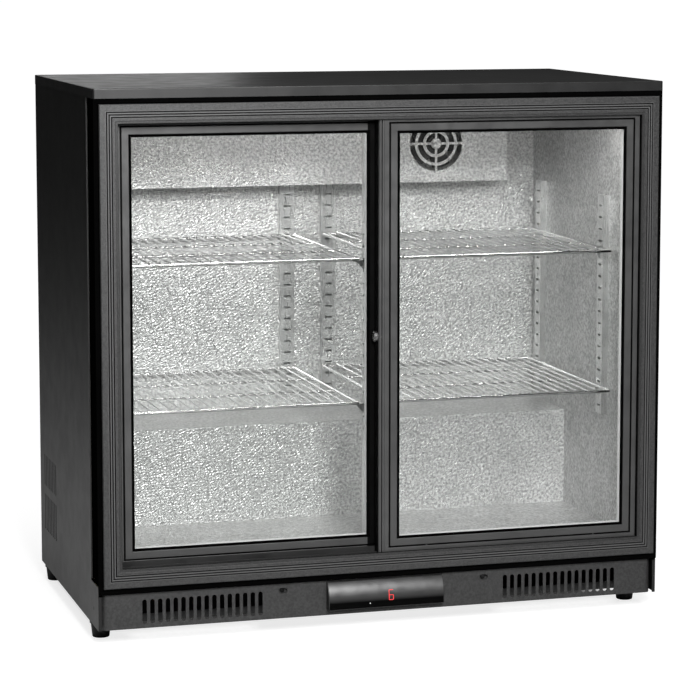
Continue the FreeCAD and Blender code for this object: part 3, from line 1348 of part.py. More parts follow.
def door_gasket(index):
    """Black glazing wedge in front of the glass and the dark spacer between the panes."""
    wedge = [(SASH_OUT, GLASS_Y), (SASH_OUT, SEAL_Y), (SEAL_OUT - SEAL_EASE, SEAL_Y),
             (SEAL_OUT, SEAL_Y + SEAL_EASE), (SEAL_OUT, GLASS_Y)]
    inner, front = REBATE + SPACER_GAP, GLASS_Y + PANE
    spacer = [(inner, front), (inner, REAR_PANE_Y), (SEAL_OUT, REAR_PANE_Y), (SEAL_OUT, front)]
    return [place_door(bar, index) for bar in door_ring(wedge) + door_ring(spacer)]


def door_panes(index):
    edge = REBATE + PANE_GAP
    panes = []
    for depth in (GLASS_Y, REAR_PANE_Y):
        y = DOOR_FRONT + depth
        panes.append(box(DOOR_RING + edge, DOOR_EDGE - edge, y, y + PANE, DOOR_BOTTOM + edge, DOOR_TOP - edge))
    return [place_door(pane, index) for pane in panes]


def roller(index, x):
    """Nylon roller with three dimples, turning on its axle."""
    y0, y1, z = track_y(0) - ROLLER_W / 2, track_y(0) + ROLLER_W / 2, ROLLER_Z
    wheel = ease_rims(rod_y(ROLLER_R, x, y0, y1, z), ROLLER_EDGE)
    cutters = [rod_y(AXLE_R + RUN, x, y0 - OVERCUT, y1 + OVERCUT, z)]
    for i in range(DIMPLES):
        angle = 2 * math.pi * i / DIMPLES
        dx, dz = DIMPLE_CIRCLE * math.cos(angle), DIMPLE_CIRCLE * math.sin(angle)
        cutters.append(rod_y(DIMPLE_R, x + dx, y0 - OVERCUT, y1 + OVERCUT, z + dz))
    return place_door(wheel.cut(cutters), index)


def meeting_brush():
    """Pile strip on the back of the right door's meeting stile, just clear of the left door."""
    x0, x1 = BRUSH_X
    y = DOOR_FRONT + DOOR_T
    return box(x0, x1, y, y + BRUSH_T, BRUSH_BOTTOM, BRUSH_TOP)


def lock_body():
    y, z, x = track_y(0), LOCK_Z, DOOR_GRIP - LOCK_PROUD
    tube = ease_rims(rod_x(LOCK_R, x, LOCK_INNER, y, z), LOCK_EDGE, lambda centre: centre.x < x + TINY)
    return tube.cut(rod_x(PLUG_R + RUN, x - OVERCUT, LOCK_INNER + OVERCUT, y, z))


def lock_barrel():
    """Keyed plug and the cam on its inner end; the cam stands up when unlocked."""
    y, z, x, inner = track_y(0), LOCK_Z, DOOR_GRIP - PLUG_PROUD, PLUG_INNER
    plug = rod_x(PLUG_R, x, inner, y, z)
    keyway = box(x - OVERCUT, x + KEYWAY_DEPTH, y - KEYWAY_HALF, y + KEYWAY_HALF, z - KEYWAY_H, z + KEYWAY_H)
    cam = box(inner, inner + CAM_T, y - CAM_W / 2, y + CAM_W / 2, z, z + CAM_LENGTH - CAM_TIP)
    boss = rod_x(PLUG_R, inner, inner + CAM_T, y, z)
    return fuse([plug.cut(keyway), cam, boss])


# ---- feet ---------------------------------------------------------------------------

def foot(x, y):
    """Levelling foot: a tapered plastic pad on a threaded stud."""
    rim = rod_z(FOOT_TOP_R, x, y, FOOT_CONE, BODY_BOTTOM - FOOT_GAP)
    cone = Part.makeCone(FOOT_BOTTOM_R, FOOT_TOP_R - FOOT_SHOULDER, FOOT_CONE, V(x, y, 0))
    cone = ease_rims(cone, FOOT_EDGE, lambda centre: centre.z < TINY)
    return fuse([rim, cone, rod_z(STUD_R, x, y, STUD_BOTTOM, STUD_TOP)])


# ---- output -------------------------------------------------------------------------

def parts():
    """Every node's name with its list of solids."""
    panel, portal = side_panel(), portal_frame()
    yield "worktop", [worktop()]
    yield "side_panel_right", [panel]
    yield "side_panel_left", [mirror_x(panel)]
    yield "back_panel", [back_panel()]
    yield "machine_cover", [machine_cover()]
    yield "portal_frame", [portal]
    yield "surround_trim", surround_trim()
    yield "door_tracks", door_tracks()
    yield "liner_walls", liner_walls()
    yield "liner_floor", [liner_floor()]
    yield "foam_tray", [foam_tray()]
    yield "cabinet_foam", [cabinet_foam(portal)]
    yield "base_pan", [base_pan()]
    yield "kick_panel", [kick_panel()]
    yield "panel_screws", panel_screws()
    yield "controller_housing", [controller_housing()]
    yield "controller_window", [controller_window()]
    yield "controller_board", [controller_board()]
    yield "shelf_uprights", shelf_uprights()
    for name, top in zip(("lower", "upper"), SHELF_Z):
        right = shelf(top)
        yield "shelf_%s_right" % name, [right]
        yield "shelf_%s_left" % name, [mirror_x(right)]
    yield "shelf_clips", shelf_clips()
    yield "light_housing", [light_housing()]
    yield "light_diffuser", [light_diffuser()]
    yield "evaporator_cover", [evaporator_cover()]
    yield "evaporator_coil", [evaporator_coil()]
    yield "evaporator_motor", [evaporator_motor()]
    yield "evaporator_fan", [evaporator_fan()]
    yield "compressor", [compressor()]
    yield "compressor_mounts", compressor_mounts()
    yield "condenser_coil", [condenser_coil()]
    yield "condenser_shroud", [condenser_shroud()]
    yield "condenser_motor", [condenser_motor()]
    yield "condenser_fan", [condenser_fan()]
    yield "refrigerant_pipes", refrigerant_pipes() + [filter_drier()]
    yield "condensate_drain", [condensate_pan(), drain_tube()]
    yield "electrical_box", [electrical_box()]
    yield "power_inlet", [power_inlet()]
    for index, side in enumerate(("right", "left")):
        yield side + "_door_frame", door_frame(index)
        yield side + "_door_sash", door_sash(index)
        yield side + "_door_gasket", door_gasket(index)
        yield side + "_door_panes", door_panes(index)
        for place, x in zip(("inner", "outer"), roller_x()):
            yield "%s_roller_%s" % (side, place), [roller(index, x)]
    yield "meeting_brush", [meeting_brush()]
    yield "lock_body", [lock_body()]
    yield "lock_barrel", [lock_barrel()]
    for (x, y), name in zip(foot_places(), ("front_left", "front_right", "rear_left", "rear_right")):
        yield "foot_" + name, [foot(x, y)]


os.makedirs("parts", exist_ok=True)
for node, solids in parts():
    shape = group(solids)
    state = "" if all(solid.isValid() for solid in shape.Solids) else "  INVALID"
    print("%-20s %2d solids %8.1f cm3%s" % (node, len(shape.Solids), shape.Volume / 1000, state))
    shape.exportStep("parts/%s.step" % node)
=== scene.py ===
"""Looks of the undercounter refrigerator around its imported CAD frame."""
import functools
import json
import math

import bmesh
import bpy
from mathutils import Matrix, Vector


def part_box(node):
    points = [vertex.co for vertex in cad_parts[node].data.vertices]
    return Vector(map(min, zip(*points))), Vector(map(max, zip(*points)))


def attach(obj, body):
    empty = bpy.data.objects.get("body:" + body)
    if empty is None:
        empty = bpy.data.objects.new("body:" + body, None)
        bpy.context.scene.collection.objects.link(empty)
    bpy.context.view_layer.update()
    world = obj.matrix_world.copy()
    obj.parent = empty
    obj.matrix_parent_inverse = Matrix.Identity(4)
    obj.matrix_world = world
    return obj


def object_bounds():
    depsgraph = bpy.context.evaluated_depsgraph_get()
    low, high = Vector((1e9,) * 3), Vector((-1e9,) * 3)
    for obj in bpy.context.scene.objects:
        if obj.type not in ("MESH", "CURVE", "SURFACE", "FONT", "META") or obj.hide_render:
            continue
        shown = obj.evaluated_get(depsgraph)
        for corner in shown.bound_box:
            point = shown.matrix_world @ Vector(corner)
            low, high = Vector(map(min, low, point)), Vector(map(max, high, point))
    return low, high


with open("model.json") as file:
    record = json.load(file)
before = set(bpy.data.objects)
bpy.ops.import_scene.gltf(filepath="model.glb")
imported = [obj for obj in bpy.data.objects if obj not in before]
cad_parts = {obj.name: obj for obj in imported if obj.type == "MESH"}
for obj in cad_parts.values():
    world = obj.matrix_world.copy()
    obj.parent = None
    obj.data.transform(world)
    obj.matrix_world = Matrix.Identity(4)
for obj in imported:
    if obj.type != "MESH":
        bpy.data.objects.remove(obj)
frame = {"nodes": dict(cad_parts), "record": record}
cad_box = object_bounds()

MM = 0.001
MIDDLE = (cad_box[0] + cad_box[1]) / 2

# ---------------------------------------------------------------- places, from the boxes of the CAD nodes
TRIM_LOW, TRIM_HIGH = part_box("surround_trim")
WINDOW_LOW, WINDOW_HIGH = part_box("controller_window")
DIFFUSER_LOW, DIFFUSER_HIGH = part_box("light_diffuser")
RIGHT_FRAME_LOW, RIGHT_FRAME_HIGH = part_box("right_door_frame")
LEFT_FRAME_LOW, LEFT_FRAME_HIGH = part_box("left_door_frame")
RIGHT_GASKET_LOW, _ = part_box("right_door_gasket")
LEFT_GASKET_LOW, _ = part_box("left_door_gasket")


def behind(front, *distances):
    """Depths at those distances, in millimetres, behind a front."""
    return tuple(front + distance * MM for distance in distances)


TRIM_GROOVE_SHADE_DEPTHS = behind(TRIM_LOW.y, 0.4, 2.0)            # painted shade: the surround is painted darker here, into its grooves
TRIM_RIDGE_HIGHLIGHT_SPAN = (9.8 * MM, 20.6 * MM)                          # painted highlight on its fine ridges, which lie this far inside its edge
DOOR_GROOVE_SHADE_DEPTHS = (behind(RIGHT_FRAME_LOW.y, 2.8, 22.8),        # depths at which each door's frame is painted black, as painted shade in its grooves
                behind(LEFT_FRAME_LOW.y, 2.7, 30.5))
SPACERS = (behind(RIGHT_GASKET_LOW.y, 4.5, 14.0),            # depths of the spacers between the panes
           behind(LEFT_GASKET_LOW.y, 4.5, 14.5))
STILE_SHADE_EDGE = LEFT_FRAME_HIGH.x - 33.5 * MM                     # the rear door's stile is painted black right of here, as painted shade
STILE_SHADE_DEPTH = (RIGHT_FRAME_HIGH.y + LEFT_FRAME_LOW.y) / 2      # and behind here, so the front door is left out
WINDOW_REFLECTION_FADE_HEIGHTS = (WINDOW_LOW.z + 9.3 * MM, WINDOW_LOW.z + 22.3 * MM)   # painted reflection: its specular level, and so its gloss, grows between these

# ---------------------------------------------------------------- the controller's display
DIGIT_X = 7.0 * MM                                           # middle of the digit
DIGIT_Z = (WINDOW_LOW.z + WINDOW_HIGH.z) / 2 - 2.5 * MM
DIGIT_WIDTH = 6.8 * MM
DIGIT_HEIGHT = 15.0 * MM
DIGIT_STROKE = 1.0 * MM
DOT_X = -27.0 * MM
DOT_Z = DIGIT_Z - 11.0 * MM
DOT_RADIUS = 0.7 * MM
DOT_SIDES = 12
DISPLAY_LIFT = 0.15 * MM                                     # its height over the window
DISPLAY_THICKNESS = 0.3 * MM
DISPLAY_SLICES = 6                                           # slices of an upright stroke along the curve
RAY_START = 50.0 * MM                                        # how far in front of the object a ray starts

# ---------------------------------------------------------------- camera and studio
CAMERA_PLACE = (-1.18185, -4.07484, 1.02667)
CAMERA_PITCH = 0.12                            # radians below the horizon
CAMERA_YAW = 0.2856                            # radians to the right of +Y
CAMERA_LENS = 136.5
CAMERA_SENSOR = 36.0
CAMERA_SHIFT = -0.10

FLOOR_SIZE = 200.0
FLOOR_GLOW = (0.80, 1.02)                      # the floor's own light beside the object and far from it
FLOOR_GLOW_SPAN = (0.6, 3.2)                   # distances between which it grows
SHADE_DEPTHS = (-0.110, 0.240)                 # front and back of the painted shadow under the cabinet, on the floor
SHADE_EDGES = (0.375, 0.435)                   # the painted shadow fades between these distances from the middle plane
SHADE_SHARE = 0.05                             # share of the floor's light that is left in the painted shadow
BACKDROP = 1.05                                # brightness of the studio as the camera sees it
AMBIENT = 0.03                                 # brightness of the studio as the object sees it

# place, target, size and watts of each studio lamp
LAMPS = {
    "overhead": ((-0.2, -0.4, 2.8), MIDDLE, (2.4, 1.8), 45),
    "key": ((-0.3, -2.6, 1.6), (-0.2, -0.25, 0.45), (0.8, 0.9), 100),
    "rim": ((0.10, 3.0, 1.30), (-0.4, 0.0, 0.84), (0.9, 0.4), 2.0)}
CABINET_LIGHT_GAP = 2 * MM                     # room between the diffuser and the lamp under it
CABINET_LIGHT_AIM = Vector((0.0, 0.35, -1.0))
CABINET_LIGHT_POWER = 1.55
CABINET_LIGHT_COLOUR = (1.0, 0.985, 0.975)
DIFFUSER_GLOW = 6.0
DIFFUSER_COLOUR = (1.0, 0.98, 0.95, 1.0)
WHITE = (1.0, 1.0, 1.0, 1.0)

# ---------------------------------------------------------------- shader numbers that several finishes share
NOISE_SPAN = (0.35, 0.65)                      # most values of a noise texture lie between these
PRODUCT_SPAN = (0.12, 0.38)                    # and most products of two of them between these
FACING_SPAN = (0.85, 0.95)                     # a surface faces an axis from this share of its normal on
MIX_FACTOR, MIX_FIRST, MIX_SECOND, MIX_RESULT = 0, 6, 7, 2   # sockets of a colour mix
HALF_GLOSS = 0.5                               # the usual specular level
SHADED_GLOSS = 0.05                             # the specular level where shade is painted: in grooves and on the doors' shaded faces
SOFT_RELIEF = 0.02 * MM


# ---------------------------------------------------------------- materials
class Finish:
    """One Principled material whose textures use the row frame, so that they move with their piece.

    Every scale counts repeats per metre.
    """

    def __init__(self, name, constants=None):
        self.material = bpy.data.materials.new(name)
        self.material.use_nodes = True
        self.tree = self.material.node_tree
        self.shader = self.tree.nodes["Principled BSDF"]
        self.place = self.node("ShaderNodeTexCoord").outputs["Object"]
        for socket, value in (constants or {}).items():
            self.shader.inputs[socket].default_value = value

    def node(self, kind, inputs=None, **settings):
        made = self.tree.nodes.new(kind)
        for setting, value in settings.items():
            setattr(made, setting, value)
        for socket, value in (inputs or {}).items():
            self.feed(made.inputs[socket], value)
        return made

    def feed(self, socket, value):
        if isinstance(value, bpy.types.NodeSocket):
            self.tree.links.new(value, socket)
        else:
            socket.default_value = value

    def stretched(self, stretch):
        """Coordinates scaled along each axis, for streaks and brushed lines."""
        return self.node("ShaderNodeMapping", {"Vector": self.place, "Scale": stretch}).outputs["Vector"]

    def noise(self, scale, detail=3.0, stretch=None):
        vector = self.stretched(stretch) if stretch else self.place
        inputs = {"Vector": vector, "Scale": scale, "Detail": detail}
        return self.node("ShaderNodeTexNoise", inputs).outputs["Fac"]

    def cells(self, scale, feature="F1"):
        inputs = {"Vector": self.place, "Scale": scale}
        return self.node("ShaderNodeTexVoronoi", inputs, feature=feature).outputs["Distance"]

    def between(self, value, low, high, start=NOISE_SPAN[0], end=NOISE_SPAN[1]):
        """The value, from start to end, mapped to run from low to high."""
        limits = {"From Min": start, "From Max": end, "To Min": low, "To Max": high}
        return self.node("ShaderNodeMapRange", {"Value": value, **limits}).outputs["Result"]

    def wander(self, low, high, scale, detail=3.0):
        """A number that wanders from low to high."""
        return self.between(self.noise(scale, detail), low, high)

    def tint(self, value, dark, light):
        """A colour from dark to light by a value from 0 to 1."""
        first, second = [colour if isinstance(colour, bpy.types.NodeSocket) else (*colour, 1.0)
                         for colour in (dark, light)]
        inputs = {MIX_FACTOR: value, MIX_FIRST: first, MIX_SECOND: second}
        return self.node("ShaderNodeMix", inputs, data_type="RGBA").outputs[MIX_RESULT]

    def mottle(self, dark, light, scale, detail=3.0):
        """A colour that wanders from dark to light."""
        return self.tint(self.wander(0.0, 1.0, scale, detail), dark, light)

    def axis(self, letter):
        return self.node("ShaderNodeSeparateXYZ", {"Vector": self.place}).outputs[letter]

    def facing(self, letter):
        """1 where the surface faces along that axis, 0 elsewhere."""
        normal = self.node("ShaderNodeTexCoord").outputs["Normal"]
        along = self.node("ShaderNodeSeparateXYZ", {"Vector": normal}).outputs[letter]
        return self.between(self.math("ABSOLUTE", along), 0.0, 1.0, *FACING_SPAN)

    def within(self, value, low, high):
        """1 where the value lies between low and high, 0 elsewhere."""
        above = self.math("GREATER_THAN", value, low)
        return self.times(above, self.math("LESS_THAN", value, high))

    def math(self, operation, *values):
        return self.node("ShaderNodeMath", dict(enumerate(values)), operation=operation).outputs[0]

    def times(self, first, second):
        return self.math("MULTIPLY", first, second)

    def bump(self, height, depth, under=None):
        """Surface relief of that depth in metres, over any earlier relief."""
        inputs = {"Height": height, "Distance": depth}
        if under is not None:
            inputs["Normal"] = under
        return self.node("ShaderNodeBump", inputs).outputs["Normal"]

    def set(self, **sockets):
        for socket, value in sockets.items():
            self.feed(self.shader.inputs[socket.replace("_", " ")], value)
        return self.material


def grey(value, warmth=0.0):
    return (value * (1 + warmth), value, value * (1 - warmth))


HEM_HIGHLIGHT_GREY = grey(0.10)                          # painted highlight on the side panels' folded front edges
PAINTED_SHADE_BLACK = grey(0.002)                     # painted shade inside the surround's and the doors' grooves, on the doors' side faces and the rear door's stile
RIDGE_HIGHLIGHT_GREY = grey(0.070)                       # painted highlight on the surround's fine ridges
SPACER_GREY = grey(0.55)                       # the spacers between the panes


def coated(name, dark, light, rough, grain, depth, constants=None):
    """Sprayed, moulded or foamed surface: faint patches of colour and gloss over a fine relief."""
    patch, speck, gloss_patch = 5.0, grain / 2, 30.0
    f = Finish(name, constants)
    patches = f.times(f.noise(scale=patch, detail=4.0), f.noise(scale=speck, detail=2.0))
    colour = f.tint(f.between(patches, 0.0, 1.0, *PRODUCT_SPAN), dark, light)
    return f.set(Base_Color=colour, Roughness=f.wander(*rough, scale=gloss_patch, detail=5.0),
                 Normal=f.bump(f.noise(scale=grain, detail=2.0), depth * MM))


def bare_metal(name, dark, light, rough, brushed, grain):
    """Metal with fine lines along the axes where brushed is small."""
    tone, depth = 35.0, 0.01 * MM
    f = Finish(name, {"Metallic": 1.0})
    lines = f.noise(scale=grain, detail=4.0, stretch=brushed)
    return f.set(Base_Color=f.mottle(dark, light, scale=tone, detail=4.0),
                 Roughness=f.between(lines, *rough),
                 Normal=f.bump(lines, depth))


def anodised(name, dark, light):
    """Extruded aluminium with a dark anodised skin and faint die lines along its length; its side faces,
    grooves and the rear door's meeting stile are painted black without gloss, as painted shade.
    """
    die_line, tone, gloss_patch, along, metal = 500, 14, 80, 0.02, 0.55
    f = Finish(name)
    lines = f.noise(scale=die_line, detail=2.0, stretch=(1, 1, along))
    cross = f.noise(scale=die_line, detail=2.0, stretch=(along, 1, 1))
    # painted shade: side faces, grooves and the rear door's meeting stile are painted black, without metal or
    # gloss
    stile_shade = f.times(f.within(f.axis("X"), STILE_SHADE_EDGE, 1.0), f.within(f.axis("Y"), STILE_SHADE_DEPTH, 1.0))
    painted_shade = f.math("MAXIMUM", f.facing("X"), stile_shade)
    for groove in DOOR_GROOVE_SHADE_DEPTHS:
        painted_shade = f.math("MAXIMUM", painted_shade, f.within(f.axis("Y"), *groove))
    return f.set(Base_Color=f.tint(painted_shade, f.mottle(dark, light, scale=tone, detail=5.0), PAINTED_SHADE_BLACK),
                 Metallic=f.between(painted_shade, metal, 0.0, start=0.0, end=1.0),
                 Specular_IOR_Level=f.between(painted_shade, HALF_GLOSS, SHADED_GLOSS, start=0.0, end=1.0),
                 Roughness=f.wander(0.34, 0.46, scale=gloss_patch, detail=4.0),
                 Normal=f.bump(f.times(lines, cross), SOFT_RELIEF))


def lit(name, strength, dark, light, unlit):
    """A lit stroke of the display."""
    grain = 900
    f = Finish(name, {"Emission Strength": strength})
    return f.set(Base_Color=(*unlit, 1.0),
                 Roughness=0.3,
                 Emission_Color=f.mottle(dark, light, scale=grain, detail=2.0))


# dark and light colour, roughness, grains per metre and relief in millimetres
COATED = {
    "worktop_black": (grey(0.008), grey(0.013), (0.34, 0.42), 1100, 0.02),
    # portal_black: black paint made darker still and without gloss, as painted shade on the portal
    "portal_black": (grey(0.001), grey(0.002), (0.60, 0.75), 900, 0.02, {"Specular IOR Level": 0.0}),
    # back_sheet: dark paint made paler, as painted light in place of a lamp on the back
    "back_sheet": (grey(0.075), grey(0.100), (0.42, 0.55), 700, 0.03),
    "track_black": (grey(0.006), grey(0.010), (0.40, 0.60), 900, 0.03),
    "foam": ((0.66, 0.55, 0.30), (0.78, 0.70, 0.44), (0.8, 0.95), 1500, 0.3),
    "housing_black": (grey(0.006), grey(0.010), (0.34, 0.46), 1000, 0.02),
    "circuit_board": ((0.01, 0.08, 0.03), (0.02, 0.14, 0.06), (0.3, 0.4), 800, 0.02),
    "motor_black": (grey(0.020), grey(0.032), (0.40, 0.55), 900, 0.04),
    "fan_plastic": (grey(0.030), grey(0.045), (0.36, 0.50), 700, 0.03),
    "compressor_black": (grey(0.010), grey(0.016), (0.20, 0.32), 300, 0.05),
    "rubber": (grey(0.018), grey(0.028), (0.65, 0.85), 1200, 0.05),
    "tray_plastic": (grey(0.50), grey(0.60), (0.35, 0.5), 500, 0.03),
    "roller_nylon": (grey(0.62, 0.03), grey(0.72, 0.03), (0.35, 0.5), 600, 0.02),
    "brush_pile": (grey(0.006), grey(0.014), (0.85, 0.95), 3000, 0.4),
    "foot_plastic": (grey(0.008), grey(0.013), (0.40, 0.55), 800, 0.04)}

# dark and light colour, roughness, stretch along each axis and lines per metre
BARE = {
    "screw_steel": (grey(0.015), grey(0.030), (0.35, 0.50), (1, 1, 40), 60),
    "upright_metal": (grey(0.66), grey(0.78), (0.26, 0.38), (20, 20, 1), 60),
    "chromed_wire": (grey(0.74), grey(0.86), (0.10, 0.20), (4, 4, 4), 90),
    "coil_aluminium": (grey(0.58), grey(0.70), (0.30, 0.44), (1, 1, 40), 60),
    "copper": ((0.62, 0.26, 0.14), (0.80, 0.42, 0.26), (0.22, 0.40), (1, 1, 1), 80),
    "lock_chrome": (grey(0.16), grey(0.24), (0.22, 0.34), (1, 1, 1), 200)}

# dark and light colour
ANODISED = {
    "door_frame_grey": (grey(0.070), grey(0.090)),
    "door_sash_grey": (grey(0.068), grey(0.088))}

# strength, dark and light colour of the glow, and colour of the unlit stroke
LIT = {
    "display_red": (1.0, (0.80, 0.03, 0.04), (1.0, 0.10, 0.10), (0.3, 0.01, 0.01)),
    "display_white": (0.9, grey(0.8), grey(1.0), grey(0.6))}


def cabinet_black():
    """Sprayed sheet, with a painted highlight on its folded front edges beside the surround."""
    f = Finish("cabinet_black")
    # painted highlight: faces towards the front, above the surround's bottom, are painted paler
    hem_highlight = f.times(f.facing("Y"), f.math("GREATER_THAN", f.axis("Z"), TRIM_LOW.z))
    sprayed = f.mottle(grey(0.005), grey(0.008), scale=5, detail=4.0)
    return f.set(Base_Color=f.tint(hem_highlight, sprayed, HEM_HIGHLIGHT_GREY),
                 Roughness=f.wander(0.28, 0.33, scale=30, detail=5.0),
                 Normal=f.bump(f.noise(scale=900, detail=2.0), 0.012 * MM))


def trim_ribbed():
    """Grained moulding with painted shade in its grooves, so it is paler on its outward faces, and a painted
    highlight on its fine ridges.
    """
    f = Finish("trim_ribbed")
    broken = f.noise(scale=260, detail=4.0)
    depth = f.axis("Y")
    sides = f.math("SUBTRACT", TRIM_HIGH.x, f.math("ABSOLUTE", f.axis("X")))
    bottom = f.math("SUBTRACT", f.axis("Z"), TRIM_LOW.z)
    top = f.math("SUBTRACT", TRIM_HIGH.z, f.axis("Z"))
    # painted highlight on the fine ridges
    ridge_highlights = f.within(f.math("MINIMUM", sides, f.math("MINIMUM", bottom, top)), *TRIM_RIDGE_HIGHLIGHT_SPAN)
    face = f.tint(ridge_highlights, f.mottle(grey(0.018), grey(0.044), scale=500, detail=5.0), RIDGE_HIGHLIGHT_GREY)
    relief = f.bump(f.cells(scale=1400), 0.10 * MM, f.bump(broken, 0.06 * MM))
    # painted shade: darker and with less gloss into the grooves
    return f.set(Base_Color=f.tint(f.between(depth, 0.0, 1.0, *TRIM_GROOVE_SHADE_DEPTHS), face, PAINTED_SHADE_BLACK),
                 Roughness=f.between(broken, 0.34, 0.50),
                 Specular_IOR_Level=f.between(depth, HALF_GLOSS, SHADED_GLOSS, *TRIM_GROOVE_SHADE_DEPTHS),
                 Normal=relief)


def plinth_grey():
    """Pebbled plastic."""
    f = Finish("plinth_grey")
    return f.set(Base_Color=f.mottle(grey(0.018), grey(0.036), scale=300, detail=5.0),
                 Roughness=f.wander(0.45, 0.58, scale=90, detail=4.0),
                 Normal=f.bump(f.cells(scale=1100), 0.08 * MM))


def embossed_aluminium():
    """Stucco-embossed sheet: irregular flat-topped dimples a few millimetres across."""
    f = Finish("embossed_aluminium", {"Metallic": 0.6})
    dimples = f.between(f.cells(scale=230, feature="DISTANCE_TO_EDGE"), 0.0, 1.0, start=0.0, end=0.32)
    flat = f.mottle(grey(0.64), grey(0.76), scale=18, detail=5.0)
    relief = f.bump(f.noise(scale=600), 0.05 * MM, f.bump(dimples, 0.45 * MM))
    return f.set(Base_Color=f.mottle(grey(0.34), flat, scale=240, detail=5.0),
                 Roughness=f.wander(0.30, 0.46, scale=120),
                 Normal=relief)


def zinc_sheet():
    """Galvanised steel with its crystal flakes."""
    f = Finish("zinc_sheet", {"Metallic": 0.9})
    flake = f.node("ShaderNodeTexVoronoi", {"Vector": f.place, "Scale": 90.0}).outputs["Color"]
    share = f.node("ShaderNodeSeparateColor", {"Color": flake}).outputs["Red"]
    return f.set(Base_Color=f.tint(share, grey(0.42), grey(0.56)),
                 Roughness=f.between(share, 0.32, 0.50, start=0.0, end=1.0),
                 Normal=f.bump(f.noise(scale=500), SOFT_RELIEF))


def smoked_window():
    """Smoked acrylic with a painted reflection: glossiest along its curved top, its specular level is painted
    down to almost nothing in front of the display.
    """
    f = Finish("smoked_window", {"IOR": 1.8})
    return f.set(Base_Color=f.mottle(grey(0.0008), grey(0.0015), scale=25),
                 Roughness=f.wander(0.30, 0.36, scale=60, detail=4.0),
                 # painted reflection: the specular level is set by height
                 Specular_IOR_Level=f.between(f.axis("Z"), 0.02, 1.0, *WINDOW_REFLECTION_FADE_HEIGHTS),
                 Normal=f.bump(f.noise(scale=20, detail=2.0), 0.01 * MM))


def door_gasket():
    """Black glazing rubber in front of the glass, and the pale spacer between the panes."""
    f = Finish("door_gasket")
    spacer = f.math("MAXIMUM", *[f.within(f.axis("Y"), *depths) for depths in SPACERS])
    black = f.mottle(grey(0.001), grey(0.002), scale=40, detail=4.0)
    return f.set(Base_Color=f.tint(spacer, black, SPACER_GREY),
                 Roughness=f.wander(0.45, 0.70, scale=300, detail=4.0),
                 Specular_IOR_Level=f.times(spacer, HALF_GLOSS),
                 Normal=f.bump(f.noise(scale=1200, detail=2.0), 0.03 * MM))


def diffuser_white():
    f = Finish("diffuser_white", {"Emission Strength": DIFFUSER_GLOW, "Emission Color": DIFFUSER_COLOUR})
    return f.set(Base_Color=f.mottle(grey(0.80), grey(0.88), scale=60),
                 Roughness=f.wander(0.4, 0.55, scale=200))


def glass():
    """Clear float glass. Light passes straight through, and it mirrors more towards a glancing view."""
    f = Finish("glass")
    clear = f.mottle((0.972, 0.976, 0.972), (0.984, 0.986, 0.984), scale=3, detail=2.0)
    through = f.node("ShaderNodeBsdfTransparent", {"Color": clear})
    mirror = f.node("ShaderNodeBsdfAnisotropic", {"Color": WHITE, "Roughness": f.wander(0.0, 0.03, scale=40)})
    share = f.node("ShaderNodeFresnel", {"IOR": 1.25})
    mixed = f.node("ShaderNodeMixShader", {0: share.outputs[0], 1: through.outputs[0], 2: mirror.outputs[0]})
    f.tree.nodes.remove(f.shader)
    output = next(n for n in f.tree.nodes if n.type == "OUTPUT_MATERIAL")
    f.tree.links.new(mixed.outputs[0], output.inputs["Surface"])
    return f.material


def floor_white():
    """Matt white floor that fades into the white studio; the object doesn't see that fade. Its glow is cut
    under the cabinet, as a painted shadow.
    """
    f = Finish("floor_white", {"Specular IOR Level": 0.0, "Roughness": 0.9, "Emission Color": WHITE})
    reach = f.node("ShaderNodeVectorMath", {0: f.place}, operation="LENGTH").outputs["Value"]
    # painted shadow: a box under the cabinet where the floor's glow is cut
    sides = f.between(f.math("ABSOLUTE", f.axis("X")), 1.0, 0.0, *SHADE_EDGES)
    under = f.times(sides, f.within(f.axis("Y"), *SHADE_DEPTHS))
    open_floor = f.between(reach, *FLOOR_GLOW, *FLOOR_GLOW_SPAN)
    glow = f.times(open_floor, f.between(under, 1.0, SHADE_SHARE, start=0.0, end=1.0))
    seen = f.node("ShaderNodeLightPath").outputs["Is Camera Ray"]
    return f.set(Base_Color=f.mottle(grey(0.44), grey(0.46), scale=2), Emission_Strength=f.times(glow, seen))


# what makes each material, under the name of the record's slot where it has one
makers = {maker.__name__: maker for maker in (
    cabinet_black, trim_ribbed, plinth_grey, embossed_aluminium, zinc_sheet, smoked_window, door_gasket,
    diffuser_white, glass, floor_white)}
for table, maker in ((COATED, coated), (BARE, bare_metal), (ANODISED, anodised), (LIT, lit)):
    makers.update({name: functools.partial(maker, name, *values) for name, values in table.items()})
made_materials = {}


def material(name):
    """The material of that name, made once."""
    if name not in made_materials:
        made_materials[name] = makers[name]()
    return made_materials[name]


def finish_cad_nodes():
    """Gives every CAD node the material of its slot in the record."""
    for part in frame["record"]["subparts"]:
        node = frame["nodes"][part["node"]]
        if not node.data.materials:
            node.data.materials.append(None)
        for slot in node.material_slots:
            slot.material = material(part["material_slot"])


# ---------------------------------------------------------------- the controller's display
def window_front(z):
    """The controller window's front face at that height, found by a ray on its CAD mesh."""
    window = frame["nodes"]["controller_window"]
    start = Vector((DIGIT_X, cad_box[0].y - RAY_START, z))
    hit, place, _, _ = window.ray_cast(window.matrix_world.inverted() @ start, Vector((0.0, 1.0, 0.0)))
    return (window.matrix_world @ place).y if hit else cad_box[0].y


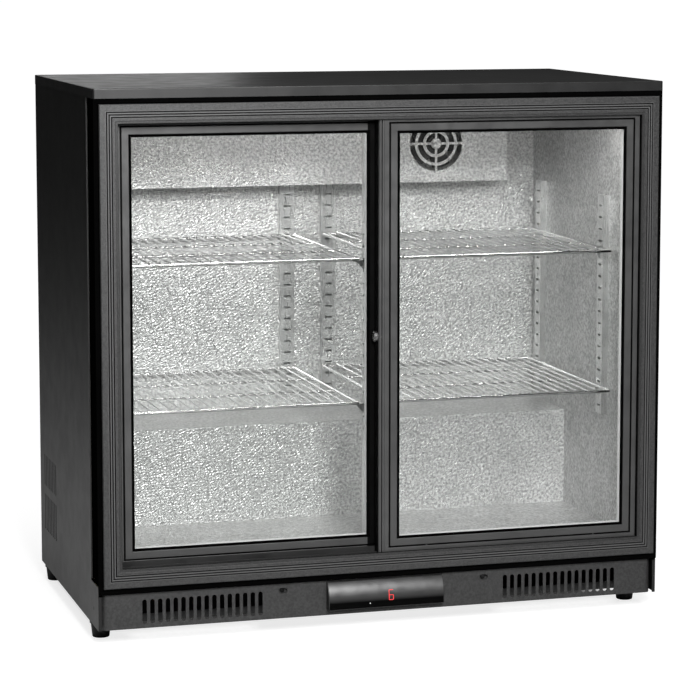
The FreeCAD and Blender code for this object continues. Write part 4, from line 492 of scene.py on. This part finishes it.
def on_window(name, outline, finish):
    """A thin raised patch on the controller window with that outline in x and z."""
    mesh = bmesh.new()
    fronts = [Vector((x, window_front(z) - DISPLAY_LIFT, z)) for x, z in outline]
    front = [mesh.verts.new(place) for place in fronts]
    back = [mesh.verts.new(place + Vector((0.0, DISPLAY_THICKNESS, 0.0))) for place in fronts]
    mesh.faces.new(front)
    mesh.faces.new(reversed(back))
    for i in range(len(outline)):
        j = (i + 1) % len(outline)
        mesh.faces.new((front[j], front[i], back[i], back[j]))
    bmesh.ops.recalc_face_normals(mesh, faces=mesh.faces)
    data = bpy.data.meshes.new(name)
    mesh.to_mesh(data)
    mesh.free()
    data.materials.append(material(finish))
    piece = bpy.data.objects.new(name, data)
    bpy.context.scene.collection.objects.link(piece)
    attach(piece, "cabinet")


def upright_stroke(x, z0, z1):
    """Outlines of the slices of an upright stroke, which follow the window's curve."""
    left, right = x - DIGIT_STROKE / 2, x + DIGIT_STROKE / 2
    step = (z1 - z0) / DISPLAY_SLICES
    levels = [(z0 + step * i, z0 + step * (i + 1)) for i in range(DISPLAY_SLICES)]
    return [[(left, low), (right, low), (right, high), (left, high)] for low, high in levels]


def flat_stroke(x0, x1, z):
    """Outline of a level stroke with pointed ends."""
    half = DIGIT_STROKE / 2
    under = [(x0, z), (x0 + half, z - half), (x1 - half, z - half)]
    over = [(x1, z), (x1 - half, z + half), (x0 + half, z + half)]
    return under + over


def add_display():
    """The lit digit of the controller, a six, and its small indicator."""
    left, right = DIGIT_X - DIGIT_WIDTH / 2, DIGIT_X + DIGIT_WIDTH / 2
    low, high = DIGIT_Z - DIGIT_HEIGHT / 2, DIGIT_Z + DIGIT_HEIGHT / 2
    strokes = upright_stroke(left, low, high) + upright_stroke(right, low, DIGIT_Z)
    strokes += [flat_stroke(left, right, level) for level in (low, DIGIT_Z, high)]
    for number, outline in enumerate(strokes):
        on_window("digit_%d" % number, outline, "display_red")
    angles = [math.tau * i / DOT_SIDES for i in range(DOT_SIDES)]
    circle = [(DOT_X + DOT_RADIUS * math.cos(a), DOT_Z + DOT_RADIUS * math.sin(a)) for a in angles]
    on_window("indicator", circle, "display_white")


# ---------------------------------------------------------------- studio
def add_camera():
    data = bpy.data.cameras.new("camera")
    data.sensor_width = CAMERA_SENSOR
    data.lens = CAMERA_LENS
    data.shift_y = CAMERA_SHIFT
    camera = bpy.data.objects.new("camera", data)
    camera.location = CAMERA_PLACE
    camera.rotation_euler = (math.pi / 2 - CAMERA_PITCH, 0.0, -CAMERA_YAW)
    bpy.context.scene.collection.objects.link(camera)
    bpy.context.scene.camera = camera


def add_lamp(name, place, target, size, power, colour=WHITE[:3]):
    """A soft rectangular lamp at place, aimed at target."""
    data = bpy.data.lights.new(name, "AREA")
    data.shape = "RECTANGLE"
    data.size, data.size_y = size
    data.energy = power
    data.color = colour
    lamp = bpy.data.objects.new(name, data)
    lamp.location = place
    lamp.rotation_euler = (Vector(target) - Vector(place)).to_track_quat("-Z", "Y").to_euler()
    lamp.visible_camera = False
    bpy.context.scene.collection.objects.link(lamp)


def add_lamps():
    """The studio's lamps, and the cabinet's own under its diffuser."""
    for name, settings in LAMPS.items():
        add_lamp(name, *settings)
    size = (DIFFUSER_HIGH.x - DIFFUSER_LOW.x, DIFFUSER_HIGH.y - DIFFUSER_LOW.y)
    place = Vector((0.0, (DIFFUSER_LOW.y + DIFFUSER_HIGH.y) / 2, DIFFUSER_LOW.z - CABINET_LIGHT_GAP))
    target = place + CABINET_LIGHT_AIM
    add_lamp("cabinet_light", place, target, size, CABINET_LIGHT_POWER, CABINET_LIGHT_COLOUR)


def add_floor():
    half = FLOOR_SIZE / 2
    corners = [(-half, -half, 0), (half, -half, 0), (half, half, 0), (-half, half, 0)]
    mesh = bpy.data.meshes.new("floor")
    mesh.from_pydata(corners, [], [(0, 1, 2, 3)])
    floor = bpy.data.objects.new("floor", mesh)
    floor.data.materials.append(material("floor_white"))
    bpy.context.scene.collection.objects.link(floor)


def add_world():
    """A white studio that lights the object less than it shows."""
    world = bpy.data.worlds.new("studio")
    world.use_nodes = True
    nodes, links = world.node_tree.nodes, world.node_tree.links
    background = nodes["Background"]
    seen = nodes.new("ShaderNodeLightPath")
    strength = nodes.new("ShaderNodeMapRange")
    strength.inputs["To Min"].default_value = AMBIENT
    strength.inputs["To Max"].default_value = BACKDROP
    links.new(seen.outputs["Is Camera Ray"], strength.inputs["Value"])
    links.new(strength.outputs["Result"], background.inputs["Strength"])
    background.inputs["Color"].default_value = WHITE
    bpy.context.scene.world = world


bpy.context.scene.view_settings.view_transform = "Standard"
finish_cad_nodes()
add_display()
add_camera()
add_world()
add_floor()
add_lamps()
